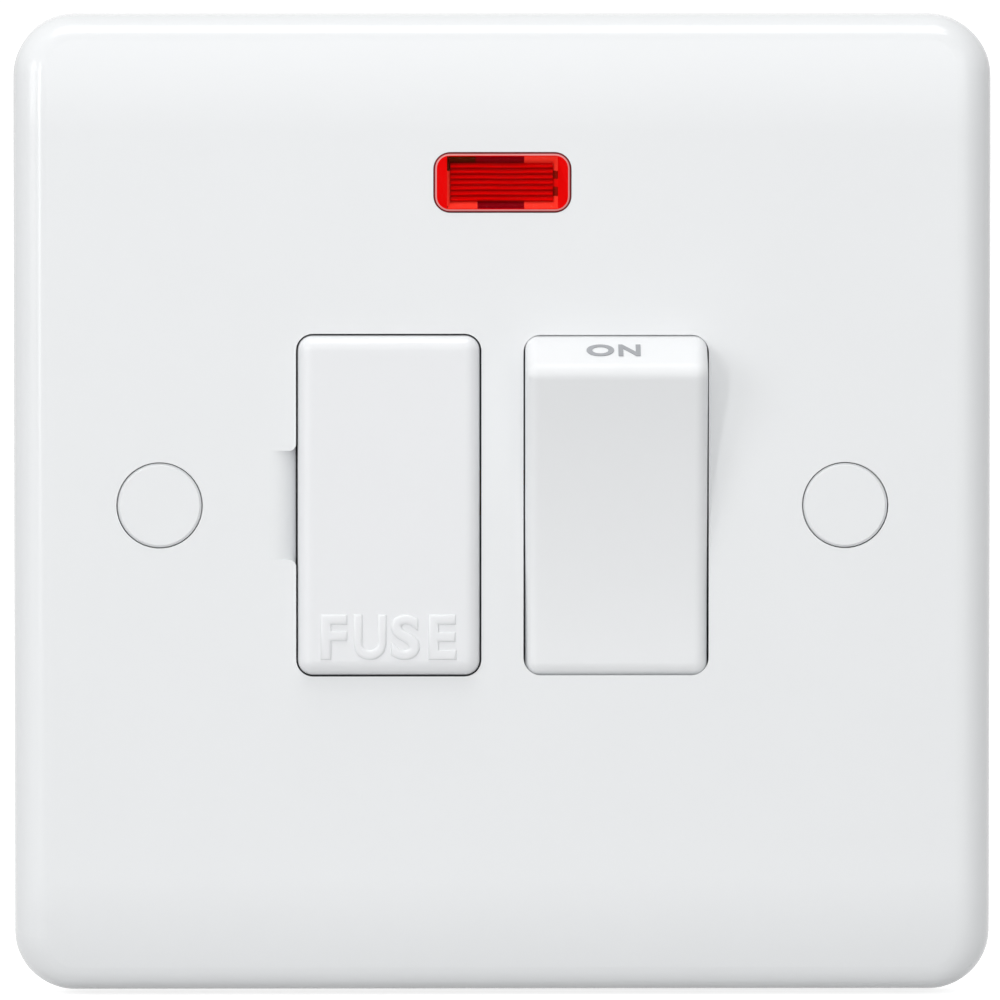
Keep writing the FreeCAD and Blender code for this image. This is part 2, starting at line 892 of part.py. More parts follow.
def housing_switch_parts(body):
    """Saddles for the trunnions, stop ledges for the skirts and a wall between the poles."""
    inner = size.aperture_offset - size.aperture_width / 2
    outer = size.aperture_offset + size.aperture_width / 2
    half = size.saddle_half
    into = size.bay_floor + size.core_depth / 4
    pad(body, "XZ_Plane", [rectangle(0, inner, -half, half),
                           rectangle(outer, bay_outer() + bay_inner(), -half, half)],
        -into, size.saddle_front)
    wide = size.trunnion_radius + size.trunnion_gap
    slot = Profile((-size.pivot_depth, wide)).line((-size.saddle_front * 2, wide))
    slot.line((-size.saddle_front * 2, -wide), (-size.pivot_depth, -wide))
    slot.arc((-size.pivot_depth + wide, 0), wide).close(wide)
    pocket(body, "YZ_Plane", slot, bay_inner(), bay_outer())
    high = bay_half()
    centre = size.aperture_offset
    middle = size.barrier_half
    ledge_half = size.aperture_width / 2 - size.moving_gap
    ledges = [rectangle(centre - ledge_half, centre + ledge_half,
                        *span(end, high - size.ledge_reach, high + size.bay_wall / 2))
              for end in (-1, 1)]
    pad(body, "XZ_Plane", ledges, -into, -size.ledge_front)
    tall = high - size.ledge_reach - size.barrier_end_gap
    pad(body, "XZ_Plane", rectangle(centre - middle, centre + middle, -tall, tall),
        -into, -size.barrier_front)


def housing_terminal_pockets(body):
    low = pillar_inner()
    high = housing_half_height() - size.outer_wall
    outlines = [rectangle(x - half - size.pillar_gap, x + half + size.pillar_gap,
                          *span(end, low, high))
                for name, x, half, end in terminal_places()]
    pocket(body, "XZ_Plane", outlines, -size.housing_back, -size.pillar_front)
    slots = [rectangle(x - size.wire_slot_half, x + size.wire_slot_half,
                       *span(end, high - size.pillar_gap, high + size.outer_wall * 2))
             for x, end in wire_places()]
    pocket(body, "XZ_Plane", slots, -size.housing_back, -size.wire_slot_front)
    outside = housing_half_height()
    corner = housing_half_width() - size.housing_corner * 2
    round_off(body, size.wire_slot_bevel, lambda box: (
        near(abs(box.ZMin), outside) and near(abs(box.ZMax), outside)
        and near(box.YMin, size.wire_slot_front) and abs(box.XMin) < corner.value
        and abs(box.XMax) < corner.value), kind="Chamfer")


def housing_back_details(body):
    half = bay_half() - size.core_inset
    wide = bay_outer()
    pocket(body, "XZ_Plane", rounded(-wide, wide, -half, half, size.housing_corner),
           -size.housing_back, size.core_depth - size.housing_back)
    hole = size.housing_screw_radius + size.ear_hole_gap
    pocket(body, "XZ_Plane", [Ring((x, z), hole) for x, z in ear_places()],
           size.ear_back, size.ear_front)


def strip_limits():
    """The contact strips lie flat on the floor of the bays."""
    return size.bay_floor - size.strip_thickness, size.bay_floor


def housing_strip_slots(body):
    """Slots in the bay walls that let the contact strips reach the terminals."""
    front, back = strip_limits()
    low = bay_half() - size.ledge_reach - size.pillar_gap
    high = pillar_inner() + size.pillar_gap
    half = size.strip_half_width + size.pillar_gap
    pole = size.aperture_offset + size.pole_offset
    line = size.aperture_offset - size.pole_offset
    gap = size.pillar_gap
    for end, middles in ((1, (line, pole)), (-1, (-size.load_line_x, pole))):
        outlines = [rectangle(x - half, x + half, front - gap, back) for x in middles]
        pocket(body, "XY_Plane", outlines, *span(end, low, high))
    pocket(body, "YZ_Plane", rectangle(front - gap, back, -half, half),
           -bay_inner() * 2, size.aperture_offset - size.aperture_width / 2 + gap)


def housing_lead_notches(body):
    """Notches at the front rim of each bay's upper outer corner for the lamp's leads."""
    front = size.plate_depth - size.front_wall
    room = size.lead_radius * 2 + size.pillar_gap
    high = bay_half()
    outlines = []
    for side in (-1, 1):
        near_x = side * bay_outer()
        far_x = near_x - side * room * 2
        left, right = (near_x, far_x) if side < 0 else (far_x, near_x)
        outlines.append(rectangle(left, right, high - room, high + size.bay_wall + room))
    pocket(body, "XZ_Plane", outlines, front - room * 3, front)


def make_rear_housing():
    body = new_body("rear_housing")
    housing_block(body)
    housing_bays(body)
    housing_switch_parts(body)
    housing_terminal_pockets(body)
    housing_back_details(body)
    housing_strip_slots(body)
    housing_lead_notches(body)
    return body


def make_rocker():
    """A hollow rocker with a dished face, drawn about its own pivot and tilted to ON."""
    body = new_body("rocker", (size.aperture_offset, -size.pivot_depth, 0))
    turn_about_x(body, True)
    half = size.aperture_width / 2 - size.moving_gap
    reach = rocker_radius()
    crest_y = -reach * cosine(size.crest_angle)
    crest_z = reach * sine(size.crest_angle)
    skirt_y = -reach * cosine(size.skirt_angle)
    skirt_z = reach * sine(size.skirt_angle)
    hollow = size.face_hollow
    face = (crest_z * crest_z + hollow * hollow) / (2 * hollow)
    outline = Profile((crest_y, -crest_z)).arc((crest_y, crest_z), face)
    outline.arc((skirt_y, skirt_z), reach, left=False).line((skirt_y, -skirt_z))
    pad(body, "YZ_Plane", outline.close(reach, left=False), -half, half)
    round_off(body, size.crest_round, lambda box: (
        flat_at(box.YMin, box.YMax, crest_y) and near(abs(box.ZMin), crest_z)))
    base = (skirt_y - size.rocker_wall).value
    round_off(body, size.rocker_edge_round, lambda box: (
        near(abs(box.XMin), half) and near(box.XMin, box.XMax) and box.YMin < base))
    rocker_inside(body, crest_y, skirt_y)
    rocker_trunnions(body, half)
    rocker_sleeves(body)
    return body


def rocker_inside(body, crest_y, skirt_y):
    wall = size.rocker_wall
    inner = rocker_radius() - wall
    top_y = crest_y + wall
    top_z = root(inner * inner - top_y * top_y)
    low_y = skirt_y + wall
    low_z = root(inner * inner - low_y * low_y)
    hollow = size.face_hollow
    face = (top_z * top_z + hollow * hollow) / (2 * hollow)
    outline = Profile((top_y, -top_z)).arc((top_y, top_z), face)
    outline.arc((low_y, low_z), inner, left=False).line((low_y, -low_z))
    outline.close(inner, left=False)
    half = size.aperture_width / 2 - size.moving_gap - wall
    pocket(body, "YZ_Plane", outline, -half, half)


def rocker_trunnions(body, half):
    root_x = half - size.rocker_wall / 2
    tip = half + size.trunnion_length
    pad(body, "YZ_Plane", Ring((0, 0), size.trunnion_radius), root_x, tip)
    pad(body, "YZ_Plane", Ring((0, 0), size.trunnion_radius), -tip, -root_x)


def rocker_sleeves(body):
    """Two tubes behind the face, joined by a web, hold the sprung plungers."""
    face_back = rocker_radius() * cosine(size.crest_angle) - size.face_hollow
    top = face_back - size.rocker_wall / 2
    pole = size.pole_offset
    rings = [Ring((side * pole, 0), size.sleeve_radius) for side in (-1, 1)]
    pad(body, "XZ_Plane", rings, -size.sleeve_reach, top)
    half = size.rocker_wall / 4
    pad(body, "XZ_Plane", rectangle(-pole, pole, -half, half), -size.sleeve_reach / 2, top)
    bore = size.plunger_radius + size.plunger_gap
    pocket(body, "XZ_Plane", [Ring((side * pole, 0), bore) for side in (-1, 1)],
           -size.sleeve_reach, size.sleeve_depth)


def pole_x(side):
    return size.aperture_offset + side * size.pole_offset


def make_plunger(name, side):
    body = new_body(name, (pole_x(side), -size.pivot_depth, 0))
    turn_about_x(body, True)
    radius = size.plunger_radius
    outline = Profile((size.plunger_top, 0)).line((size.plunger_reach + radius, 0))
    outline.arc((size.plunger_reach, radius), radius)
    outline.line((size.plunger_top, radius)).close()
    spin(body, "Revolution", "YZ_Plane", outline, "H_Axis")
    return body


def make_spring(name, side):
    """A round coil with a square wire section keeps the facet count low."""
    body = new_body(name, (pole_x(side), -size.pivot_depth, 0))
    turn_about_x(body, True)
    start = size.spring_seat - size.sleeve_depth
    half = size.spring_wire / 2
    outline = rectangle(start, start + size.spring_wire,
                        size.spring_radius - half, size.spring_radius + half)
    sketch = new_sketch(body, "YZ_Plane", outline, as_dim(0))
    coil = body.newObject("PartDesign::AdditiveHelix", name + "_coil")
    coil.Profile = sketch
    coil.ReferenceAxis = (sketch, ["H_Axis"])
    coil.Mode = 0
    bind(coil, "Pitch", size.spring_pitch)
    bind(coil, "Height", size.plunger_top - start - size.spring_wire - size.spring_seat / 2)
    return body


def dish_law():
    """Radius and centre of the dish that keeps a steady gap under the plunger's tip.

    The plunger tip and the bridge turn opposite ways by the same angle, so the tip
    runs along a short arc in the bridge's own frame. The dish is that arc, grown by
    the tip's radius and the gap."""
    throw = size.throw_angle
    apart = size.fulcrum_back + size.pivot_depth
    swing_y = size.plunger_reach * cosine(throw * 2) - apart * cosine(throw)
    swing_z = size.plunger_reach * sine(throw * 2) - apart * sine(throw)
    middle = size.plunger_reach - apart
    drop = middle - swing_y
    path = (swing_z * swing_z + drop * drop) / (2 * drop)
    return path + size.plunger_radius + size.dish_gap, middle - path


def make_bridge(name, side):
    """A see-saw contact blade: dished in front for the plunger, grooved behind."""
    body = new_body(name, (pole_x(side), size.fulcrum_back, 0))
    turn_about_x(body, False)
    dish, centre = dish_law()
    rim = -size.bridge_rim
    lip = root(dish * dish - (rim - centre) * (rim - centre))
    groove = size.fulcrum_radius + size.fulcrum_gap
    arm = size.bridge_arm
    thick = -size.bridge_thickness
    foot = size.bridge_block + size.bridge_thickness / 2
    outline = Profile((0, -arm)).line((0, -groove))
    outline.arc((-groove, 0), groove, left=False).arc((0, groove), groove, left=False)
    outline.line((0, arm), (thick, arm), (thick, foot), (rim, size.bridge_block), (rim, lip))
    outline.arc((rim, -lip), dish, left=False)
    outline.line((rim, -size.bridge_block), (thick, -foot), (thick, -arm)).close()
    half = size.bridge_width / 2
    pad(body, "YZ_Plane", outline, -half, half)
    return body


def make_moving_tip(name, side):
    body = new_body(name, (pole_x(side), size.fulcrum_back, 0))
    turn_about_x(body, False)
    dome = size.tip_dome
    edge = size.tip_height - dome + root(dome * dome - size.tip_radius * size.tip_radius)
    outline = Profile((0, 0)).line((size.tip_height, 0)).arc((edge, size.tip_radius), dome)
    outline.line((0, size.tip_radius)).close()
    spin(body, "Revolution", "YZ_Plane", outline, "H_Axis", shift=(0, tip_arm()))
    return body


def tip_meeting():
    """Where the domed moving tip comes closest to the wall: its y and z when ON."""
    throw = size.throw_angle
    back = size.tip_height - size.tip_dome
    centre_y = size.fulcrum_back + back * cosine(throw) + tip_arm() * sine(throw)
    centre_z = tip_arm() * cosine(throw) - back * sine(throw)
    return centre_y + size.tip_dome, centre_z


def make_fixed_tips():
    touch, height = tip_meeting()
    face = touch + size.tip_gap
    length = size.bay_floor - size.strip_thickness - face
    members = [post("fixed_tip_%d" % (number + 1), size.tip_radius,
                    (pole_x(side), face, height), length)
               for number, side in enumerate((-1, 1))]
    return group("fixed_tips", members)


def make_fixed_contact(name, side):
    body = new_body(name)
    front, back = strip_limits()
    x = pole_x(side)
    half = size.bridge_width / 2
    touch, height = tip_meeting()
    pad(body, "XZ_Plane", rectangle(x - half, x + half, height - half, pillar_inner()),
        -back, -front)
    return body


def make_fulcrum(name, side):
    """A foot on the bay floor with a neck and a round ridge that the bridge rocks on."""
    body = new_body(name)
    front, back = strip_limits()
    x = pole_x(side)
    half = size.bridge_width / 2
    low = -half if side < 0 else -pillar_inner()
    pad(body, "XZ_Plane", rectangle(x - half, x + half, low, half), -back, -front)
    neck = size.neck_thickness / 2
    wide = half - size.moving_gap
    pad(body, "YZ_Plane", rectangle(size.fulcrum_back, front + size.strip_thickness / 2,
                                    -neck, neck), x - wide, x + wide)
    pad(body, "YZ_Plane", Ring((size.fulcrum_back, 0), size.fulcrum_radius), x - wide, x + wide)
    return body


def clip_profile():
    """A U of spring strip, open to the front, with flared lips."""
    x = -size.aperture_offset
    y = size.fuse_back
    inner = size.cap_tube_radius + size.clip_gap
    outer = inner + size.clip_thickness
    leg = y - size.clip_leg
    lip = leg - size.clip_flare
    flare = size.clip_flare
    outline = Profile((x - inner, leg)).line((x - inner, y))
    outline.arc((x, y + inner), inner, left=False).arc((x + inner, y), inner, left=False)
    outline.line((x + inner, leg), (x + inner + flare, lip), (x + outer + flare, lip))
    outline.line((x + outer, leg), (x + outer, y)).arc((x, y + outer), outer)
    outline.arc((x - outer, y), outer).line((x - outer, leg), (x - outer - flare, lip))
    return outline.line((x - inner - flare, lip)).close()


def make_fuse_clip(name, end):
    """The upper clip's strip runs to the line fulcrum, the lower one's to its terminal."""
    body = new_body(name)
    front, back = strip_limits()
    pad(body, "XY_Plane", clip_profile(), *clip_limits(end))
    x = -size.aperture_offset
    half = size.strip_half_width
    behind = size.fuse_back + size.cap_tube_radius + size.clip_gap + size.clip_thickness / 2
    middle = size.fuse_length / 2 - size.clip_from_end - size.clip_width / 2
    stem = size.strip_thickness / 2
    pad(body, "XZ_Plane", rectangle(x - half, x + half, *span(end, middle - stem, middle + stem)),
        -back, -behind)
    if end < 0:
        pad(body, "XZ_Plane", rectangle(x - half, x + half, -pillar_inner(), stem - middle),
            -back, -front)
        return body
    corner = Profile((x - half, -half)).line((pole_x(LINE_POLE) - size.bridge_width / 2, -half))
    corner.line((pole_x(LINE_POLE) - size.bridge_width / 2, half), (x + half, half))
    corner.line((x + half, middle + stem), (x - half, middle + stem)).close()
    pad(body, "XZ_Plane", corner, -back, -front)
    return body


def make_terminal(name, x, half, end):
    body = new_body(name)
    low = pillar_inner()
    high = pillar_outer()
    z_low, z_high = span(end, low, high)
    pad(body, "XZ_Plane", rectangle(x - half, x + half, z_low, z_high),
        -size.pillar_back, -size.pillar_front)
    round_off(body, size.pillar_gap * 4, lambda box: (
        near(box.XMin, box.XMax) and near(box.ZMin, box.ZMax)), kind="Chamfer")
    wires = [wire_x for wire_x, wire_end in wire_places()
             if wire_end == end and abs((wire_x - x).value) < half.value]
    pocket(body, "XY_Plane", [Ring((wire_x, size.wire_back), size.wire_radius)
                              for wire_x in wires], z_low, z_high)
    middle = end * (low + high) / 2
    thread = size.clamp_radius + size.thread_gap
    pocket(body, "XZ_Plane", [Ring((wire_x, middle), thread) for wire_x in wires],
           -size.pillar_back, -size.wire_back)
    return body


def make_terminal_screws():
    """Clamp screws at the back, wound out so that each wire bore is clear."""
    tip = size.wire_back + size.wire_radius + size.clamp_lift
    middle = (pillar_inner() + pillar_outer()) / 2
    members = []
    for number, (x, end) in enumerate(wire_places(), start=1):
        seat = size.pillar_back + size.clamp_lift
        members.append(headed_screw("terminal_screw_%d" % number, (x, seat, end * middle),
                                    size.clamp_radius, seat - tip,
                                    size.clamp_head_radius, size.clamp_head_height))
    return group("terminal_screws", members)


def carrier_limits():
    half_w = size.aperture_width / 2 - size.moving_gap
    half_h = aperture_half() - size.moving_gap
    return -size.aperture_offset - half_w, half_w - size.aperture_offset, half_h


def make_fuse_carrier():
    """A drawer with a rounded front, a snap cradle for the fuse and two barbed tails."""
    body = new_body("fuse_carrier")
    left, right, half_h = carrier_limits()
    front = size.plate_depth + size.carrier_proud
    pad(body, "XZ_Plane", rounded(left, right, -half_h, half_h, size.carrier_corner),
        -size.carrier_back, front)
    round_off(body, size.carrier_round * 0.98, lambda box: flat_at(box.YMin, box.YMax, -front))
    wall = size.carrier_side_wall
    inside = size.fuse_length / 2 + size.carrier_end_gap
    ceiling = front - size.carrier_front_wall
    pocket(body, "XZ_Plane", rectangle(left + wall, right - wall, -inside, inside),
           -size.carrier_back, ceiling)
    carrier_cradle(body, ceiling)
    carrier_tails(body, half_h)
    return body


def carrier_cradle(body, ceiling):
    x = -size.aperture_offset
    wide = size.cradle_half_width
    high = size.fuse_length / 2 - size.fuse_cap_length - size.cradle_cap_gap
    pad(body, "XZ_Plane", rectangle(x - wide, x + wide, -high, high),
        -size.cradle_back, ceiling + size.carrier_front_wall / 2)
    bore = size.barrel_radius + size.cradle_gap
    pocket(body, "XY_Plane", Ring((x, size.fuse_back), bore), -high, high)


def carrier_tails(body, half_h):
    x = -size.aperture_offset
    wide = size.tail_half_width
    low = half_h - size.carrier_side_wall
    stop = size.carrier_travel - size.plate_depth + size.front_wall + size.rib_gap
    for end in (-1, 1):
        pad(body, "XZ_Plane", rectangle(x - wide, x + wide, *span(end, low, half_h)),
            -size.tail_back, -size.carrier_back + size.carrier_side_wall)
        tip = end * (half_h + size.barb_reach)
        wedge = Profile((stop, end * low)).line((stop, tip), (stop + size.barb_reach / 2, tip))
        wedge.line((size.tail_back, end * half_h), (size.tail_back, end * low)).close()
        pad(body, "YZ_Plane", wedge, x - wide, x + wide)


def make_fuse_barrel():
    body = new_body("fuse_barrel", (-size.aperture_offset, size.fuse_back, 0))
    half = size.fuse_length / 2 - size.fuse_cap_end
    outline = rectangle(size.barrel_bore, size.barrel_radius, -half, half)
    spin(body, "Revolution", "XZ_Plane", outline, "V_Axis")
    return body


def make_fuse_caps():
    members = []
    x = -size.aperture_offset
    y = size.fuse_back
    length = size.fuse_cap_length
    half = size.fuse_length / 2
    for name, end in (("upper", 1), ("lower", -1)):
        low, high = span(end, half - length, half)
        outside = rod("fuse_cap_%s_skin" % name, size.cap_tube_radius, (x, y, low), length, "z")
        low, high = span(end, half - length - size.fuse_cap_end, half - size.fuse_cap_end)
        inside = rod("fuse_cap_%s_room" % name, size.barrel_radius + size.barrel_gap,
                     (x, y, low), high - low, "z")
        cap = doc.addObject("Part::Cut", "fuse_cap_" + name)
        cap.Base, cap.Tool = outside, inside
        members.append(cap)
    return group("fuse_end_caps", members)


def make_fuse_element():
    half = size.fuse_length / 2 - size.fuse_cap_end
    wire = rod("fuse_element", size.fuse_wire_radius,
               (-size.aperture_offset, size.fuse_back, -half), half * 2, "z")
    wire.Label = "fuse_element"
    return wire


def make_neon_lens():
    """A window with a flange behind the plate and a hollow back for the lamp."""
    body = new_body("neon_lens")
    half_w = size.lens_width / 2
    half_h = size.lens_height / 2
    z = lens_z()
    front = size.plate_depth + size.lens_proud
    back = size.flange_front - size.flange_thickness
    pad(body, "XZ_Plane", rounded(-half_w, half_w, z - half_h, z + half_h, size.lens_corner),
        back, front)
    round_off(body, size.lens_bevel, lambda box: flat_at(box.YMin, box.YMax, -front),
              kind="Chamfer")
    more = size.lens_flange
    pad(body, "XZ_Plane", rounded(-half_w - more, half_w + more, z - half_h - more,
                                  z + half_h + more, size.lens_corner),
        back, size.flange_front)
    wall = size.lens_side_wall
    pocket(body, "XZ_Plane", rectangle(wall - half_w, half_w - wall,
                                       z - half_h + wall, z + half_h - wall),
           back, front - size.lens_front_wall)
    lens_ribs(body, half_w - wall, size.lens_front_wall - front)
    return body


def lens_ribs(body, half, ceiling):
    """Fine ridges across the back of the window spread the lamp's light."""
    pitch = size.lens_rib_pitch
    low = lens_z() - pitch * LENS_RIBS / 2
    outline = Profile((ceiling, low))
    for rib in range(LENS_RIBS):
        outline.line((ceiling + size.lens_rib_height, low + pitch * (rib + 0.5)),
                     (ceiling, low + pitch * (rib + 1)))
    root_y = ceiling - size.lens_rib_height
    outline.line((root_y, low + pitch * LENS_RIBS), (root_y, low)).close()
    pad(body, "YZ_Plane", outline, -half, half)


def lamp_centre():
    return -size.lamp_chamber_back - size.lamp_radius


def make_neon_lamp():
    """A closed glass tube across the chamber: pinched at the leads, drawn to a tip beyond."""
    body = new_body("neon_lamp", (0, lamp_centre(), lens_z()))
    half = size.lamp_length / 2
    wall = size.lamp_glass_wall
    radius = size.lamp_radius
    pinch = size.lamp_pinch_length
    tip = size.lamp_tip_length
    outer = Profile((-half, 0)).line((-half, size.lamp_pinch_radius), (pinch - half, radius))
    outer.line((half - tip, radius), (half, size.lamp_tip_radius), (half, 0)).close()
    spin(body, "Revolution", "XZ_Plane", outer, "H_Axis")
    inner = Profile((pinch - half, 0)).line((pinch - half, radius - wall))
    inner.line((half - tip, radius - wall), (half - wall * 2, 0)).close()
    spin(body, "Groove", "XZ_Plane", inner, "H_Axis")
    return body


def make_electrodes():
    """Two parallel rods stand in the pinch, which closes the glass round them."""
    start = size.lamp_pinch_length - size.lamp_length / 2
    members = [rod("neon_electrode_%d" % number, size.electrode_radius,
                   (start, lamp_centre() + side * size.electrode_offset, lens_z()),
                   size.electrode_length, "x")
               for number, side in enumerate((-1, 1), start=1)]
    return group("neon_electrodes", members)


def resistor_y():
    return size.trough_back - size.resistor_radius


def make_resistor():
    body = new_body("neon_resistor",
                    (-size.resistor_x - size.resistor_length / 2, resistor_y(), resistor_z()))
    radius = size.resistor_radius
    waist = radius * 0.85
    end = radius * 1.2
    length = size.resistor_length
    outline = Profile((0, 0)).line((length, 0), (length, radius), (length - end, radius))
    outline.line((length - end, waist), (end, waist), (end, radius), (0, radius)).close()
    spin(body, "Revolution", "XZ_Plane", outline, "H_Axis")
    return body


def lead(name, points):
    """An insulated lead: a round section carried along straight runs with mitred corners."""
    corners = [Vector(*[as_dim(where).value for where in point]) for point in points]
    start = Part.Circle(corners[0], corners[1] - corners[0], size.lead_radius.value)
    section = Part.Wire(start.toShape())
    wire = doc.addObject("Part::Feature", name)
    wire.Shape = Part.makePolygon(corners).makePipeShell(
        [section], True, False, MITRED_CORNERS)
    return wire


def make_neon_leads():
    """Lamp to resistor, resistor to the load line strip, lamp to the load neutral strip."""
    radius = size.lead_radius
    front, back = strip_limits()
    lift = size.front_wall - size.plate_depth + radius * 4
    floor = size.bay_floor - radius
    side = bay_outer() - radius * 2
    near_y = lamp_centre() - size.electrode_offset
    far_y = lamp_centre() + size.electrode_offset
    lamp_end = -size.lamp_length / 2
    drop_x = lamp_end - radius * 2
    bay_z = bay_half() - radius * 1.5
    low_z = radius * 3 - bay_z
    resistor_left = -size.resistor_x - size.resistor_length / 2
    resistor_right = resistor_left + size.resistor_length
    y = resistor_y()
    z = resistor_z()
    first = lead("neon_lead_lamp", [
        (lamp_end, far_y, lens_z()), (drop_x, far_y, lens_z()), (drop_x, far_y, z),
        (drop_x, y, z), (resistor_right, y, z)])
    second = lead("neon_lead_line", [
        (resistor_left, y, z), (-side, y, z), (-side, lift, z), (-side, lift, bay_z),
        (-side, floor, bay_z), (-side, floor, low_z),
        (-size.aperture_offset - size.strip_half_width, floor, low_z)])
    strip = pole_x(NEUTRAL_POLE) + size.bridge_width / 2
    turn = size.saddle_half + radius * 3
    third = lead("neon_lead_neutral", [
        (lamp_end, near_y, lens_z()), (drop_x, near_y, lens_z()), (drop_x, near_y, z),
        (side, near_y, z), (side, lift, z), (side, lift, bay_z), (side, floor, bay_z),
        (side, floor, turn), (strip + radius * 3, floor, turn),
        (strip + radius * 3, floor, 0), (strip, floor, 0)])
    return group("neon_leads", [first, second, third])


def build_all():
    parts = [make_front_plate(), make_rear_housing(), make_rocker(), make_fuse_carrier(),
             make_neon_lens(), make_housing_screws(), make_fixed_tips(), make_fuse_barrel(),
             make_fuse_caps(), make_fuse_element(), make_terminal_screws(), make_neon_lamp(),
             make_electrodes(), make_resistor(), make_neon_leads()]
    for side, word in ((-1, "left"), (1, "right")):
        parts.append(make_screw_cap("screw_cap_" + word, side))
        parts.append(make_fixing_screw("fixing_screw_" + word, side))
    for side, word in ((LINE_POLE, "line"), (NEUTRAL_POLE, "neutral")):
        parts.append(make_plunger("plunger_" + word, side))
        parts.append(make_spring("spring_" + word, side))
        parts.append(make_bridge("contact_bridge_" + word, side))
        parts.append(make_moving_tip("moving_tip_" + word, side))
        parts.append(make_fixed_contact("fixed_contact_" + word, side))
        parts.append(make_fulcrum("fulcrum_" + word, side))
    parts.append(make_fuse_clip("fuse_clip_upper", 1))
    parts.append(make_fuse_clip("fuse_clip_lower", -1))
    for name, x, half, end in terminal_places():
        parts.append(make_terminal(name, x, half, end))
    return parts


def check_document():
    for item in doc.Objects:
        if "Invalid" in item.State or "Error" in item.State:
            raise RuntimeError(item.Name + " did not compute")


def write_parts(parts):
    os.makedirs("parts", exist_ok=True)
    for part in parts:
        shape = part.Shape
        if shape.isNull() or not shape.isValid():
            raise RuntimeError(part.Label + " has no sound shape")
        shape.exportStep("parts/" + part.Label + ".step")
        box = shape.BoundBox
        print("%-26s solids %d  x %.2f..%.2f  y %.2f..%.2f  z %.2f..%.2f" % (
            part.Label, len(shape.Solids), box.XMin, box.XMax,
            box.YMin, box.YMax, box.ZMin, box.ZMax))


fill_sheet()
all_parts = build_all()
doc.recompute()
check_document()
write_parts(all_parts)
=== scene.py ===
# %% [markdown]
# # A switched and fused connection unit
#
# The object is a white wall plate with a fuse drawer, a rocker switch and a red neon window.
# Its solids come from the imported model, already in metres and in place: the wall is y = 0,
# the front faces -Y and +Z is up. This script gives every solid its finish and adds what a
# solid model leaves out: the ribbed lens, the lettering, the screw threads and the marks
# on the back.

import math

import bmesh
import bpy
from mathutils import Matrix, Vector


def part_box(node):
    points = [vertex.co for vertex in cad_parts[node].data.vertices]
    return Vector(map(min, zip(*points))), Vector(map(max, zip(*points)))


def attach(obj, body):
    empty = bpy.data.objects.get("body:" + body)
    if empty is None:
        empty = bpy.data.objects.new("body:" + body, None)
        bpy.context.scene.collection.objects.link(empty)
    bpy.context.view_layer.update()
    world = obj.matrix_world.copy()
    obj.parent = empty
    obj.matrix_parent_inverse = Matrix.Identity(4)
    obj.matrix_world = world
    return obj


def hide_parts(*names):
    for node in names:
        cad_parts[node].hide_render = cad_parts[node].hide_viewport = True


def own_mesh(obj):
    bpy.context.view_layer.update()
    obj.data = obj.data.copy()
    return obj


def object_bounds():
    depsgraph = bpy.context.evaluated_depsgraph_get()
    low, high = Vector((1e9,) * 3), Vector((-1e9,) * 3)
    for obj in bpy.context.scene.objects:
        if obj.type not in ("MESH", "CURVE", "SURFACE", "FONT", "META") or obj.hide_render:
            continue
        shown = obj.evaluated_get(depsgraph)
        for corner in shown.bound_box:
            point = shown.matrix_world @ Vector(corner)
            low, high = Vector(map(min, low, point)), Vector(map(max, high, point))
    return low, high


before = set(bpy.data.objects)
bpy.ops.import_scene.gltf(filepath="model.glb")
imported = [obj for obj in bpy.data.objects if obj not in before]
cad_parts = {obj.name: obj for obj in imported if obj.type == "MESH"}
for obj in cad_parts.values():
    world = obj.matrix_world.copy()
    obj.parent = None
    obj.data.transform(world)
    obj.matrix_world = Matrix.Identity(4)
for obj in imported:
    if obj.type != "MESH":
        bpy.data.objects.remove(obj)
solid_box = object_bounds()
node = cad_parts
MM = 0.001
print(len(node), "solids from", [round(v / MM, 1) for v in solid_box[0]],
      "to", [round(v / MM, 1) for v in solid_box[1]])

# %% [markdown]
# ## Camera
#
# The photograph was taken almost square on, from a little to the left and a little above,
# and from far away, so that the plate hardly narrows with depth. A long lens at the same
# distance gives the same small perspective. The framing shift only repeats how the object
# sits in the photograph.

# %% Camera
CAMERA_DISTANCE = 1.443
CAMERA_AZIMUTH = math.radians(-0.60)
CAMERA_ELEVATION = math.radians(3.42)
SENSOR_WIDTH = 36.0
FOCAL_LENGTH = 586.8
FRAMING_SHIFT = (-0.0013, -0.0012)
NEAREST, FARTHEST = 0.05, 50.0


def towards(azimuth, elevation):
    """Unit vector from the object to a place seen at these angles, azimuth 0 being the front."""
    return Vector((math.sin(azimuth) * math.cos(elevation),
                   -math.cos(azimuth) * math.cos(elevation), math.sin(elevation)))


def aim(thing, place, target):
    thing.location = place
    thing.rotation_euler = (Vector(target) - Vector(place)).to_track_quat("-Z", "Y").to_euler()


camera_data = bpy.data.cameras.new("photo_camera")
camera = bpy.data.objects.new("photo_camera", camera_data)
bpy.context.scene.collection.objects.link(camera)
camera_data.sensor_width = SENSOR_WIDTH
camera_data.lens = FOCAL_LENGTH
camera_data.shift_x, camera_data.shift_y = FRAMING_SHIFT
camera_data.clip_start = NEAREST
camera_data.clip_end = FARTHEST
aim(camera, towards(CAMERA_AZIMUTH, CAMERA_ELEVATION) * CAMERA_DISTANCE, (0, 0, 0))
bpy.context.scene.camera = camera
bpy.context.scene.view_settings.view_transform = "Standard"
print("camera stands at", [round(v, 3) for v in camera.location])

# %% [markdown]
# ## Floor and surroundings
#
# The photograph has a plain white ground. A wide pale floor lies just under the plate's lower
# edge and takes its shadow. The floor and the sky look white to the camera and in
# reflections through Light Path, while the light that they throw on the object stays modest.

# %% Floor and sky
FLOOR_DROP = 0.0005
FLOOR_SIZE = 12.0
SKY_LIGHT = 0.42
FLOOR_GLOW = 0.79
PAPER_TONE = 0.57


